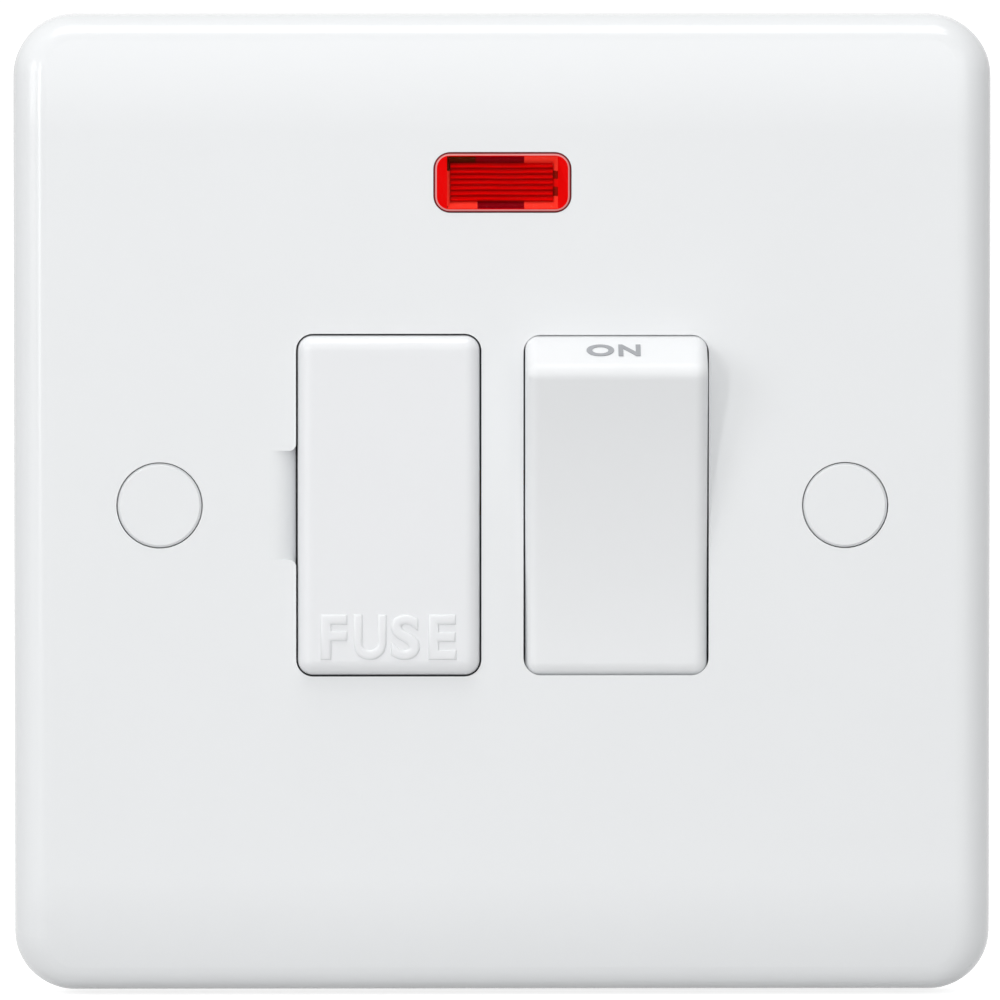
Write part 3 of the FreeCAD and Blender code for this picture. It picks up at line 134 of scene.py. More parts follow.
def link(tree, source, output, target, entry):
    tree.links.new(source.outputs[output], target.inputs[entry])


def seen_directly(tree):
    """1 for camera, mirror and glass rays, 0 for the rays that light other surfaces."""
    path = tree.nodes.new("ShaderNodeLightPath")
    first = tree.nodes.new("ShaderNodeMath")
    first.operation = "MAXIMUM"
    link(tree, path, "Is Camera Ray", first, 0)
    link(tree, path, "Is Glossy Ray", first, 1)
    both = tree.nodes.new("ShaderNodeMath")
    both.operation = "MAXIMUM"
    link(tree, first, 0, both, 0)
    link(tree, path, "Is Transmission Ray", both, 1)
    return both


def make_sky():
    world = bpy.data.worlds.new("white_surround")
    world.use_nodes = True
    tree = world.node_tree
    background = tree.nodes["Background"]
    background.inputs["Color"].default_value = (1, 1, 1, 1)
    strength = tree.nodes.new("ShaderNodeMapRange")
    strength.inputs["To Min"].default_value = SKY_LIGHT
    strength.inputs["To Max"].default_value = 1.0
    link(tree, seen_directly(tree), 0, strength, "Value")
    link(tree, strength, 0, background, "Strength")
    bpy.context.scene.world = world


def make_floor():
    bpy.ops.object.select_all(action="DESELECT")
    level = solid_box[0][2] - FLOOR_DROP
    bpy.ops.mesh.primitive_plane_add(size=FLOOR_SIZE, location=(0, 0, level))
    floor = bpy.context.active_object
    floor.name = "studio_floor"
    paper = bpy.data.materials.new("studio_paper")
    paper.use_nodes = True
    tree = paper.node_tree
    shader = tree.nodes["Principled BSDF"]
    shader.inputs["Base Color"].default_value = (PAPER_TONE, PAPER_TONE, PAPER_TONE, 1)
    shader.inputs["Roughness"].default_value = 0.9
    shader.inputs["Emission Color"].default_value = (1, 1, 1, 1)
    glow = tree.nodes.new("ShaderNodeMapRange")
    glow.inputs["To Min"].default_value = 0.0
    glow.inputs["To Max"].default_value = FLOOR_GLOW
    link(tree, seen_directly(tree), 0, glow, "Value")
    link(tree, glow, 0, shader, "Emission Strength")
    floor.data.materials.append(paper)
    bpy.ops.object.transform_apply(location=True, rotation=True, scale=True)
    print("floor at z =", round(level / MM, 2), "mm")


make_sky()
make_floor()

# %% [markdown]
# ## Lamps
#
# The shading of the plate tells where the light came from. Its rounded left edge has a thin
# highlight, so a narrow strip of light stands at the left. The rocker throws a soft wedge of
# shadow to the right, so a broad panel stands further round on the same side. The upper edge
# is brighter than the face, so there is light overhead. The rest is a broad even light from
# the front. Each lamp's power is worked out from the share of the light that it gives: 1 in
# all is the level at which a white face looks as white as its colour.

# %% Lamps
LAMPS = {
    "strip_left": {"azimuth": -28, "elevation": 8, "away": 1.2, "width": 0.09, "height": 0.80,
                   "share": 0.19},
    "panel_left": {"azimuth": -52, "elevation": 14, "away": 1.2, "width": 0.45, "height": 0.60,
                   "share": 0.18},
    "overhead": {"azimuth": -6, "elevation": 74, "away": 0.9, "width": 0.60, "height": 0.40,
                 "share": 0.42},
    "front_panel": {"azimuth": 12, "elevation": 16, "away": 1.2, "width": 1.10, "height": 1.00,
                    "share": 0.24},
}


def add_lamp(name, azimuth, elevation, away, width, height, share):
    data = bpy.data.lights.new(name, "AREA")
    data.shape = "RECTANGLE"
    data.size = width
    data.size_y = height
    data.energy = share * math.pi ** 2 * away ** 2
    lamp = bpy.data.objects.new(name, data)
    bpy.context.scene.collection.objects.link(lamp)
    place = towards(math.radians(azimuth), math.radians(elevation)) * away
    aim(lamp, place, (0, 0, 0))
    return data.energy


for lamp_name, setting in LAMPS.items():
    print(lamp_name, round(add_lamp(lamp_name, **setting), 2), "W")

# %% [markdown]
# ## Moulded plastic
#
# The plate, drawer, rocker and caps are glossy white urea mouldings. Such a surface is
# never perfectly flat: it has a faint ripple that breaks up reflections, a slightly uneven
# gloss and the smallest changes of tone. All three come from noise in the piece's own
# coordinates, so they stay on the surface when it is seen from another side.

# %% Moulded plastic finish
NOISE_LOW, NOISE_HIGH = 0.3, 0.7
TONE_PATCHES, GLOSS_PATCHES = 90.0, 120.0
GLOSS_SPREAD = 0.012


def noise_in_place(tree, scale, detail=2.0):
    place = tree.nodes.new("ShaderNodeTexCoord")
    noise = tree.nodes.new("ShaderNodeTexNoise")
    noise.inputs["Scale"].default_value = scale
    noise.inputs["Detail"].default_value = detail
    link(tree, place, "Object", noise, "Vector")
    return noise


def spread(tree, source, low, high):
    """Turns noise, which stays near a half, into a value between low and high."""
    span = tree.nodes.new("ShaderNodeMapRange")
    span.inputs["From Min"].default_value = NOISE_LOW
    span.inputs["From Max"].default_value = NOISE_HIGH
    span.inputs["To Min"].default_value = low
    span.inputs["To Max"].default_value = high
    link(tree, source, 0, span, "Value")
    return span


def two_tones(tree, source, dark, light):
    ramp = tree.nodes.new("ShaderNodeValToRGB")
    ramp.color_ramp.elements[0].position = NOISE_LOW
    ramp.color_ramp.elements[0].color = (*dark, 1)
    ramp.color_ramp.elements[1].position = NOISE_HIGH
    ramp.color_ramp.elements[1].color = (*light, 1)
    link(tree, source, 0, ramp, "Fac")
    return ramp


def raise_by(tree, source, distance, strength=1.0):
    bump = tree.nodes.new("ShaderNodeBump")
    bump.inputs["Strength"].default_value = strength
    bump.inputs["Distance"].default_value = distance
    link(tree, source, 0, bump, "Height")
    return bump


def shaded(colour, factor):
    return tuple(min(channel * factor, 1.0) for channel in colour)


def finish_tree(name):
    finish = bpy.data.materials.new(name)
    finish.use_nodes = True
    tree = finish.node_tree
    return finish, tree, tree.nodes["Principled BSDF"]


def moulded(name, colour, gloss, ripple=0.25e-6, grain=700.0, tone=0.004, shine=0.5):
    """gloss is the mean roughness; ripple is the height of the surface's waves in metres."""
    finish, tree, shader = finish_tree(name)
    shader.inputs["Specular IOR Level"].default_value = shine
    tones = two_tones(tree, noise_in_place(tree, TONE_PATCHES), shaded(colour, 1 - tone),
                      shaded(colour, 1 + tone))
    link(tree, tones, "Color", shader, "Base Color")
    uneven = spread(tree, noise_in_place(tree, GLOSS_PATCHES), gloss - GLOSS_SPREAD,
                    gloss + GLOSS_SPREAD)
    link(tree, uneven, 0, shader, "Roughness")
    waves = raise_by(tree, noise_in_place(tree, grain, 3.0), ripple)
    link(tree, waves, "Normal", shader, "Normal")
    return finish


def dress(finish, *things):
    """Gives a finish to solids by name or to pieces."""
    for thing in things:
        target = node[thing] if isinstance(thing, str) else thing
        target.data.materials.clear()
        target.data.materials.append(finish)


WHITE = (0.790, 0.804, 0.815)
plate_white = moulded("plate_white", WHITE, 0.19)
drawer_white = moulded("drawer_white", (0.790, 0.800, 0.815), 0.30)
rocker_white = moulded("rocker_white", (0.802, 0.814, 0.825), 0.45, shine=0.45)
housing_white = moulded("housing_white", (0.74, 0.74, 0.71), 0.52, ripple=6e-6, grain=1400.0,
                        tone=0.03)
dress(plate_white, "front_plate", "screw_cap_left", "screw_cap_right")
dress(drawer_white, "fuse_carrier")
dress(rocker_white, "rocker")
dress(housing_white, "rear_housing")
print("moulded finishes:", [m.name for m in bpy.data.materials if m.name.endswith("_white")])

# %% [markdown]
# ## Metal parts
#
# The terminals are cut from extruded brass bar, the contacts and clips are stamped from
# strip, the screws are plated steel or turned brass. One recipe serves them all: a metal
# with fine scratches along the way it was drawn or rolled, slightly uneven gloss and a
# patchy tone where fingers and heat have dulled it. Only its colour and the stretch of the
# scratches change.

# %% Metal finishes
SCRATCH_SCALE = 1500.0
DULL_PATCHES = 300.0
METAL_SPREAD = 0.08


def scratched(tree, stretch):
    """Fine noise drawn out along one axis of the piece."""
    place = tree.nodes.new("ShaderNodeTexCoord")
    pull = tree.nodes.new("ShaderNodeMapping")
    pull.inputs["Scale"].default_value = stretch
    noise = tree.nodes.new("ShaderNodeTexNoise")
    noise.inputs["Scale"].default_value = SCRATCH_SCALE
    noise.inputs["Detail"].default_value = 4.0
    link(tree, place, "Object", pull, "Vector")
    link(tree, pull, "Vector", noise, "Vector")
    return noise


def metal(name, colour, gloss, stretch=(1.0, 1.0, 0.08), depth=2e-6, dulling=0.12):
    finish, tree, shader = finish_tree(name)
    shader.inputs["Metallic"].default_value = 1.0
    tones = two_tones(tree, noise_in_place(tree, DULL_PATCHES, 5.0), shaded(colour, 1 - dulling),
                      shaded(colour, 1 + dulling / 3))
    link(tree, tones, "Color", shader, "Base Color")
    lines = scratched(tree, stretch)
    uneven = spread(tree, lines, gloss - METAL_SPREAD, gloss + METAL_SPREAD)
    link(tree, uneven, 0, shader, "Roughness")
    link(tree, raise_by(tree, lines, depth), "Normal", shader, "Normal")
    return finish


pillar_brass = metal("extruded_brass", (0.78, 0.60, 0.30), 0.34)
strip_brass = metal("stamped_brass", (0.80, 0.63, 0.33), 0.30)
clip_bronze = metal("spring_bronze_strip", (0.74, 0.50, 0.27), 0.30)
turned_brass = metal("turned_brass", (0.80, 0.64, 0.34), 0.26, stretch=(1.0, 0.1, 1.0))
plated_steel = metal("zinc_plated_steel", (0.66, 0.67, 0.69), 0.28, stretch=(1.0, 0.1, 1.0))
spring_wire = metal("drawn_spring_wire", (0.55, 0.55, 0.56), 0.26)
silver_tip = metal("silver_contact", (0.86, 0.85, 0.82), 0.22, stretch=(1.0, 1.0, 1.0))
nickel_wire = metal("nickel_wire", (0.68, 0.66, 0.62), 0.30, stretch=(0.1, 1.0, 1.0))
fuse_cap_plating = metal("fuse_cap_plating", (0.76, 0.74, 0.68), 0.24)

dress(pillar_brass, *[name for name in node if name.startswith("terminal_")
                      and name != "terminal_screws"])
dress(strip_brass, "fixed_contact_line", "fixed_contact_neutral", "fulcrum_line",
      "fulcrum_neutral", "contact_bridge_line", "contact_bridge_neutral")
dress(clip_bronze, "fuse_clip_upper", "fuse_clip_lower")
dress(silver_tip, "moving_tip_line", "moving_tip_neutral", "fixed_tips")
dress(nickel_wire, "fuse_element", "neon_electrodes")
dress(fuse_cap_plating, "fuse_end_caps")
print("metal finishes given")

# %% [markdown]
# ## Ceramic, glass, sleeves and the resistor
#
# Inside are a few small parts of other stuff: the fuse's fired ceramic barrel, the neon
# lamp's glass, the lamp's sleeved leads, the lacquered resistor and the grey low-friction
# plungers. The resistor's bands are painted rings, so they follow the length of its body.

# %% Small inner parts
ceramic = moulded("fired_ceramic", (0.78, 0.75, 0.68), 0.30, ripple=5e-6, grain=900.0, tone=0.03)
lead_sleeve = moulded("lead_sleeve", (0.62, 0.62, 0.58), 0.45, ripple=3e-6, grain=1200.0)
plunger_grey = moulded("plunger_acetal", (0.60, 0.60, 0.57), 0.38)


def make_lamp_glass():
    finish, tree, shader = finish_tree("lamp_glass_clear")
    shader.inputs["Base Color"].default_value = (0.97, 0.96, 0.94, 1)
    shader.inputs["Transmission Weight"].default_value = 1.0
    shader.inputs["IOR"].default_value = 1.48
    uneven = spread(tree, noise_in_place(tree, 500.0), 0.02, 0.08)
    link(tree, uneven, 0, shader, "Roughness")
    link(tree, raise_by(tree, noise_in_place(tree, 350.0), 8e-6), "Normal", shader, "Normal")
    return finish


RESISTOR_BANDS = ((0.20, (0.35, 0.16, 0.05)), (0.36, (0.02, 0.02, 0.02)),
                  (0.52, (0.62, 0.42, 0.02)), (0.80, (0.55, 0.40, 0.12)))
BAND_WIDTH = 0.07


def make_resistor_paint():
    finish, tree, shader = finish_tree("banded_lacquer")
    low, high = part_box("neon_resistor")
    place = tree.nodes.new("ShaderNodeTexCoord")
    split = tree.nodes.new("ShaderNodeSeparateXYZ")
    along = tree.nodes.new("ShaderNodeMapRange")
    along.inputs["From Min"].default_value = low[0]
    along.inputs["From Max"].default_value = high[0]
    link(tree, place, "Object", split, "Vector")
    link(tree, split, "X", along, "Value")
    ramp = tree.nodes.new("ShaderNodeValToRGB")
    ramp.color_ramp.interpolation = "CONSTANT"
    body_colour = (0.55, 0.42, 0.27, 1)
    ramp.color_ramp.elements[0].color = body_colour
    ramp.color_ramp.elements.remove(ramp.color_ramp.elements[1])
    for start, colour in RESISTOR_BANDS:
        ramp.color_ramp.elements.new(start).color = (*colour, 1)
        ramp.color_ramp.elements.new(start + BAND_WIDTH).color = body_colour
    link(tree, along, 0, ramp, "Fac")
    link(tree, ramp, "Color", shader, "Base Color")
    uneven = spread(tree, noise_in_place(tree, 900.0), 0.25, 0.40)
    link(tree, uneven, 0, shader, "Roughness")
    return finish


dress(ceramic, "fuse_barrel")
dress(lead_sleeve, "neon_leads")
dress(plunger_grey, "plunger_line", "plunger_neutral")
dress(make_lamp_glass(), "neon_lamp")
dress(make_resistor_paint(), "neon_resistor")
print("inner parts finished")

# %% [markdown]
# ## Tools for the added pieces
#
# Each piece that a solid model leaves out starts as a box, a cylinder or a text of its real
# size at its real place, and is shaped in edit mode. Its place is then in its mesh, its
# object stays at the origin, and it rides the body that it belongs to.

# %% Shaping tools


def only(thing):
    bpy.ops.object.select_all(action="DESELECT")
    thing.select_set(True)
    bpy.context.view_layer.objects.active = thing


def settle(piece):
    """Moves the object's place, turn and scale into its mesh."""
    only(piece)
    bpy.ops.object.transform_apply(location=True, rotation=True, scale=True)


def box_piece(name, low, high):
    """A box between two corners given in millimetres."""
    bpy.ops.object.select_all(action="DESELECT")
    middle = [(a + b) / 2 * MM for a, b in zip(low, high)]
    bpy.ops.mesh.primitive_cube_add(size=1, location=middle)
    piece = bpy.context.active_object
    piece.name = name
    piece.scale = [(b - a) * MM for a, b in zip(low, high)]
    settle(piece)
    return piece


def edit(piece, kind, wanted):
    """Opens the piece for editing with the edges or faces that pass the test selected."""
    only(piece)
    bpy.ops.object.mode_set(mode="EDIT")
    bpy.ops.mesh.select_mode(type=kind)
    bpy.ops.mesh.select_all(action="DESELECT")
    mesh = bmesh.from_edit_mesh(piece.data)
    for item in mesh.edges if kind == "EDGE" else mesh.faces:
        if wanted(item):
            item.select_set(True)
    bmesh.update_edit_mesh(piece.data)


def close_edit(smooth_below=35.0):
    bpy.ops.mesh.select_all(action="SELECT")
    bpy.ops.mesh.normals_make_consistent(inside=False)
    bpy.ops.object.mode_set(mode="OBJECT")
    bpy.ops.object.shade_smooth_by_angle(angle=math.radians(smooth_below))


def along(edge, axis):
    """True for an edge that runs along one axis only."""
    one, two = (corner.co for corner in edge.verts)
    return all(abs(one[other] - two[other]) < 1e-7 for other in range(3) if other != axis)


def at(edge, axis, place):
    return all(abs(corner.co[axis] - place) < 1e-7 for corner in edge.verts)


def cut_away(piece, tool):
    """Takes the tool's form out of the piece and throws the tool away."""
    only(piece)
    cut = piece.modifiers.new("cut", "BOOLEAN")
    cut.operation = "DIFFERENCE"
    cut.solver = "EXACT"
    cut.object = tool
    bpy.ops.object.modifier_apply(modifier=cut.name)
    bpy.data.objects.remove(tool)


def unite(first, *others):
    """Joins finished pieces of one kind into one object."""
    only(first)
    for other in others:
        other.select_set(True)
    bpy.ops.object.join()
    return first


def fit(piece, body, slot, *finishes):
    """Gives a new piece its body and its finishes; the slot is not used."""
    piece.data.materials.clear()
    for finish in finishes:
        piece.data.materials.append(finish)
    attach(piece, body)


def paint(piece, number, wanted):
    for face in piece.data.polygons:
        if wanted(face.center, face.normal):
            face.material_index = number


X, Y, Z = 0, 1, 2
print("tools ready")

# %% [markdown]
# ## Neon window
#
# The window is a clear red moulding with a bevel round its rim, which carries a painted
# highlight on its front and painted shade on its outer faces. Behind its smooth front lies a
# panel of seven fine ribs that spread the lamp's light, and round the panel slanting walls on
# which the dark chamber and the lit plastic are painted in blocks of colour, as painted shade
# and painted glow. The body is a box with rounded corners and a slanting pocket, the panel is
# one rounded rib repeated by an array, and a thin clear sheet closes the front.

# %% Red plastics


def linear(*levels):
    """A colour as a screen shows it, 0 to 255, turned into light levels."""
    return tuple((level / 255) ** 2.2 for level in levels)


def stepped(name, axis, stops, gloss=0.22):
    """Blocks of colour along one axis; each stop is a place in millimetres and a colour."""
    finish, tree, shader = finish_tree(name)
    shader.inputs["Specular IOR Level"].default_value = INNER_SHINE
    start, end = stops[0][0], stops[-1][0] + 1.0
    place = tree.nodes.new("ShaderNodeTexCoord")
    split = tree.nodes.new("ShaderNodeSeparateXYZ")
    span = tree.nodes.new("ShaderNodeMapRange")
    span.inputs["From Min"].default_value = start * MM
    span.inputs["From Max"].default_value = end * MM
    link(tree, place, "Object", split, "Vector")
    link(tree, split, axis, span, "Value")
    ramp = tree.nodes.new("ShaderNodeValToRGB")
    ramp.color_ramp.interpolation = "CONSTANT"
    ramp.color_ramp.elements.remove(ramp.color_ramp.elements[1])
    for number, (where, colour) in enumerate(stops):
        part = (where - start) / (end - start)
        entry = ramp.color_ramp.elements[0] if number == 0 else ramp.color_ramp.elements.new(part)
        entry.color = (*linear(*colour), 1)
    link(tree, span, 0, ramp, "Fac")
    link(tree, ramp, "Color", shader, "Base Color")
    link(tree, spread(tree, noise_in_place(tree, 700.0), gloss - 0.05, gloss + 0.08), 0,
         shader, "Roughness")
    link(tree, raise_by(tree, noise_in_place(tree, 1600.0, 3.0), 4e-6), "Normal", shader, "Normal")
    return finish


INNER_SHINE, SHEET_SHINE = 0.005, 0.15
# Colours of the pocket walls' blocks: painted shade stands for the dark chamber behind, painted glow
# and painted light for the lit plastic.
PAINTED_LIT_RED, PAINTED_GLOW, PAINTED_MAROON_SHADE = (240, 20, 18), (255, 62, 48), (118, 0, 20)
PAINTED_DARK_SHADE, PAINTED_BROWN_SHADE = (52, 28, 6), (128, 26, 14)
lens_red = moulded("lens_red", linear(230, 2, 2), 0.14, tone=0.03, shine=0.03)
# The rim's dark maroon is painted shade on the bevel's outer faces and the sides.
lens_rim_shade = moulded("lens_rim_shade", linear(132, 42, 46), 0.40, tone=0.08, shine=0.10)
# The bevel's pale pink is a painted highlight on its front faces.
lens_bevel_highlight = moulded("lens_bevel_highlight", linear(218, 138, 136), 0.45, tone=0.06, shine=0.2)
upper_walls = stepped("lens_upper_walls", "X", [(-5.0, PAINTED_DARK_SHADE), (-2.35, PAINTED_MAROON_SHADE), (1.9, PAINTED_GLOW)])
lower_walls = stepped("lens_lower_walls", "X", [(-5.0, PAINTED_GLOW), (-2.2, PAINTED_MAROON_SHADE), (1.9, PAINTED_GLOW)])
left_wall = stepped("lens_left_wall", "Z", [(25.9, PAINTED_BROWN_SHADE), (26.3, PAINTED_GLOW), (29.4, PAINTED_DARK_SHADE)])
right_wall = stepped("lens_right_wall", "Z", [(25.9, PAINTED_GLOW), (27.2, PAINTED_BROWN_SHADE), (28.0, PAINTED_LIT_RED),
                                              (28.7, PAINTED_BROWN_SHADE), (29.4, PAINTED_GLOW)])


def make_window_sheet():
    """The smooth clear front, mostly see-through and only lightly red."""
    finish, tree, shader = finish_tree("lens_clear_front")
    link(tree, two_tones(tree, noise_in_place(tree, 400.0), linear(225, 20, 20),
                         linear(240, 40, 38)), "Color", shader, "Base Color")
    shader.inputs["Alpha"].default_value = 0.03
    shader.inputs["Specular IOR Level"].default_value = SHEET_SHINE
    link(tree, spread(tree, noise_in_place(tree, 500.0), 0.05, 0.12), 0, shader, "Roughness")
    link(tree, raise_by(tree, noise_in_place(tree, 300.0), 1e-6), "Normal", shader, "Normal")
    return finish


window_sheet = make_window_sheet()
print("red finishes made")

# %% [markdown]
# The body is a box with rounded upright edges and a small bevel round its front. A second box,
# narrowed towards its back, is cut out of it and leaves the slanting walls. A wider flange
# behind keeps the moulding from falling out through the plate. Each wall then gets the
# finish that fits its place: painted shade on the rim, a painted highlight on the bevel's
# front and blocks of painted shade and painted glow on the four inner walls.

# %% Window body
lens_low, lens_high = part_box("neon_lens")
LENS_FRONT = lens_low[Y] / MM
LENS_BACK = lens_high[Y] / MM
LENS_MIDDLE = (lens_low[Z] + lens_high[Z]) / 2 / MM
LENS_HALF_WIDTH, LENS_HALF_HEIGHT = 6.04, 2.64
POCKET_FLOOR = LENS_FRONT + 1.05
POCKET_LEFT, POCKET_RIGHT = -4.92, 4.95
POCKET_HALF_HEIGHT = 2.41
POCKET_TAPER = (0.912, 1, 0.70)
POCKET_LEAN = (-0.075, 0, -0.02)
RIM_CLEAR = 0.12
LENS_CORNER, LENS_EDGE = 1.4, 0.27
FLANGE_DEPTH = 1.15
OVERCUT = 0.2


def make_lens_body():
    body = box_piece("lens_body",
                     (-LENS_HALF_WIDTH, LENS_FRONT, LENS_MIDDLE - LENS_HALF_HEIGHT),
                     (LENS_HALF_WIDTH, LENS_BACK, LENS_MIDDLE + LENS_HALF_HEIGHT))
    edit(body, "EDGE", lambda edge: along(edge, Y))
    bpy.ops.mesh.bevel(offset=LENS_CORNER * MM, segments=8, affect="EDGES")
    close_edit()
    edit(body, "EDGE", lambda edge: at(edge, Y, LENS_FRONT * MM))
    bpy.ops.mesh.bevel(offset=LENS_EDGE * MM, segments=3, affect="EDGES")
    close_edit()
    pocket = box_piece("pocket",
                       (POCKET_LEFT, LENS_FRONT - OVERCUT, LENS_MIDDLE - POCKET_HALF_HEIGHT),
                       (POCKET_RIGHT, POCKET_FLOOR, LENS_MIDDLE + POCKET_HALF_HEIGHT))
    edit(pocket, "FACE", lambda face: face.normal.y > 0.9)
    bpy.ops.transform.resize(value=POCKET_TAPER)
    bpy.ops.transform.translate(value=[shift * MM for shift in POCKET_LEAN])
    close_edit()
    cut_away(body, pocket)
    return body


def make_lens_flange():
    low = (lens_low[X] / MM, LENS_BACK - FLANGE_DEPTH, lens_low[Z] / MM)
    flange = box_piece("lens_flange", low, [corner / MM for corner in lens_high])
    edit(flange, "EDGE", lambda edge: along(edge, Y))
    bpy.ops.mesh.bevel(offset=LENS_CORNER * MM, segments=6, affect="EDGES")
    close_edit()
    return flange


lens_body = unite(make_lens_body(), make_lens_flange())
fit(lens_body, "unit", "red_lens", lens_red, lens_bevel_highlight, upper_walls, lower_walls, left_wall,
    right_wall, lens_rim_shade)


def in_pocket(middle):
    """True for a face on the pocket's walls or floor."""
    return (POCKET_LEFT * MM < middle.x < POCKET_RIGHT * MM
            and LENS_FRONT * MM < middle.y < POCKET_FLOOR * MM + 1e-6
            and abs(middle.z - LENS_MIDDLE * MM) < (POCKET_HALF_HEIGHT - RIM_CLEAR) * MM)


def paint_wall(number, axis, facing):
    """Gives one finish to the pocket wall that faces along an axis."""
    paint(lens_body, number,
          lambda middle, normal: in_pocket(middle) and normal[axis] * facing > 0.5)


# The bevel's front faces take the painted highlight.
paint(lens_body, 1, lambda middle, normal: -0.995 < normal.y < -0.85 and not in_pocket(middle))
# The bevel's outer faces and the sides take the painted shade.
paint(lens_body, 6, lambda middle, normal: -0.85 <= normal.y < 0.1 and not in_pocket(middle))
# The four inner walls take their blocks of painted shade and painted glow.
for number, axis, facing in ((2, Z, -1), (3, Z, 1), (4, X, 1), (5, X, -1)):
    paint_wall(number, axis, facing)
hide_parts("neon_lens")
print("window body", len(lens_body.data.polygons), "faces")

# %% [markdown]
# The ribs are seen through red plastic, so each shows one bright line where it faces the
# light and dark flanks beside it. One rounded rib is copied upwards with a hair's breadth
# between the copies. The finish paints this on as colour, a painted highlight line and painted
# shade on the flanks, repeated once a rib with a little noise so that no two lines are quite
# the same.

# %% Ribs and clear front
RIB_COUNT = 7
RIB_PITCH = 0.48
RIB_HEIGHT, RIB_ROUND = 0.42, 0.22
RIB_SLIT, RIB_SWAY = 0.02, 0.06
RIB_LEFT, RIB_RIGHT = -4.56, 4.44
RIB_BOTTOM = LENS_MIDDLE - 0.03 - RIB_COUNT * RIB_PITCH / 2
# Across one rib: painted shade on the flanks and a painted highlight line between them.
RIB_PAINTED_SHADING = ((0.0, (170, 0, 0)), (0.24, (188, 0, 0)), (0.42, (236, 1, 0)), (0.62, (194, 0, 0)),
             (1.0, (172, 0, 0)))


def once_a_rib(tree):
    """0 to 1 across each rib, swaying a little along its length."""
    place = tree.nodes.new("ShaderNodeTexCoord")
    split = tree.nodes.new("ShaderNodeSeparateXYZ")
    link(tree, place, "Object", split, "Vector")
    sway = spread(tree, noise_in_place(tree, 260.0, 4.0), -RIB_SWAY * MM, RIB_SWAY * MM)
    height = tree.nodes.new("ShaderNodeMath")
    link(tree, split, "Z", height, 0)
    link(tree, sway, 0, height, 1)
    turns = tree.nodes.new("ShaderNodeMapRange")
    turns.clamp = False
    turns.inputs["From Min"].default_value = RIB_BOTTOM * MM
    turns.inputs["From Max"].default_value = (RIB_BOTTOM + RIB_PITCH) * MM
    link(tree, height, 0, turns, "Value")
    within = tree.nodes.new("ShaderNodeMath")
    within.operation = "FRACT"
    link(tree, turns, 0, within, 0)
    return within


def make_rib_finish():
    finish, tree, shader = finish_tree("lens_rib_red")
    shader.inputs["Specular IOR Level"].default_value = INNER_SHINE
    ramp = tree.nodes.new("ShaderNodeValToRGB")
    ramp.color_ramp.elements.remove(ramp.color_ramp.elements[1])
    ramp.color_ramp.elements[0].color = (*linear(*RIB_PAINTED_SHADING[0][1]), 1)
    for part, colour in RIB_PAINTED_SHADING[1:]:
        ramp.color_ramp.elements.new(part).color = (*linear(*colour), 1)
    link(tree, once_a_rib(tree), 0, ramp, "Fac")
    link(tree, ramp, "Color", shader, "Base Color")
    link(tree, spread(tree, noise_in_place(tree, 500.0), 0.15, 0.30), 0, shader, "Roughness")
    return finish


rib_red = make_rib_finish()


def make_ribs():
    rib = box_piece("lens_ribs", (RIB_LEFT, POCKET_FLOOR - RIB_HEIGHT, RIB_BOTTOM + RIB_SLIT),
                    (RIB_RIGHT, POCKET_FLOOR + 0.05, RIB_BOTTOM + RIB_PITCH))
    crest = (POCKET_FLOOR - RIB_HEIGHT) * MM
    edit(rib, "EDGE", lambda edge: along(edge, X) and at(edge, Y, crest))
    bpy.ops.mesh.bevel(offset=RIB_ROUND * MM, segments=4, affect="EDGES")
    close_edit(50)
    rows = rib.modifiers.new("rows", "ARRAY")
    rows.count = RIB_COUNT
    rows.use_relative_offset = False
    rows.use_constant_offset = True
    rows.constant_offset_displace = (0, 0, RIB_PITCH * MM)
    only(rib)
    bpy.ops.object.modifier_apply(modifier=rows.name)
    return rib


lens_ribs = make_ribs()
fit(lens_ribs, "unit", "red_lens", rib_red)
SHEET_HALF_HEIGHT = POCKET_HALF_HEIGHT - 0.01
lens_sheet = box_piece("lens_sheet",
                       (POCKET_LEFT + 0.01, LENS_FRONT + 0.02, LENS_MIDDLE - SHEET_HALF_HEIGHT),
                       (POCKET_RIGHT - 0.01, LENS_FRONT + 0.10, LENS_MIDDLE + SHEET_HALF_HEIGHT))
fit(lens_sheet, "unit", "red_lens", window_sheet)
print("ribs", len(lens_ribs.data.polygons), "faces")

# %% [markdown]
# ## Raised FUSE lettering
#
# The drawer's name is moulded with it: plain capitals four millimetres high that stand less
# than a fifth of a millimetre proud and have soft, rounded strokes. Each letter is a text
# with a broad round bevel, turned into a mesh, flattened, drawn to its own width, stood
# upright and half sunk in the drawer's face.

# %% FUSE
DRAWER_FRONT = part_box("fuse_carrier")[0][Y] / MM
FUSE_LETTERS = (("F", -16.00, 2.34), ("U", -13.10, 2.89), ("S", -9.85, 2.59), ("E", -6.52, 2.47))
FUSE_BASE, FUSE_HEIGHT = -13.57, 4.0
FUSE_ROUND, FUSE_FLATTEN, FUSE_WEIGHT = 0.32, 0.55, -0.09
CAPITAL_SHARE = 0.7


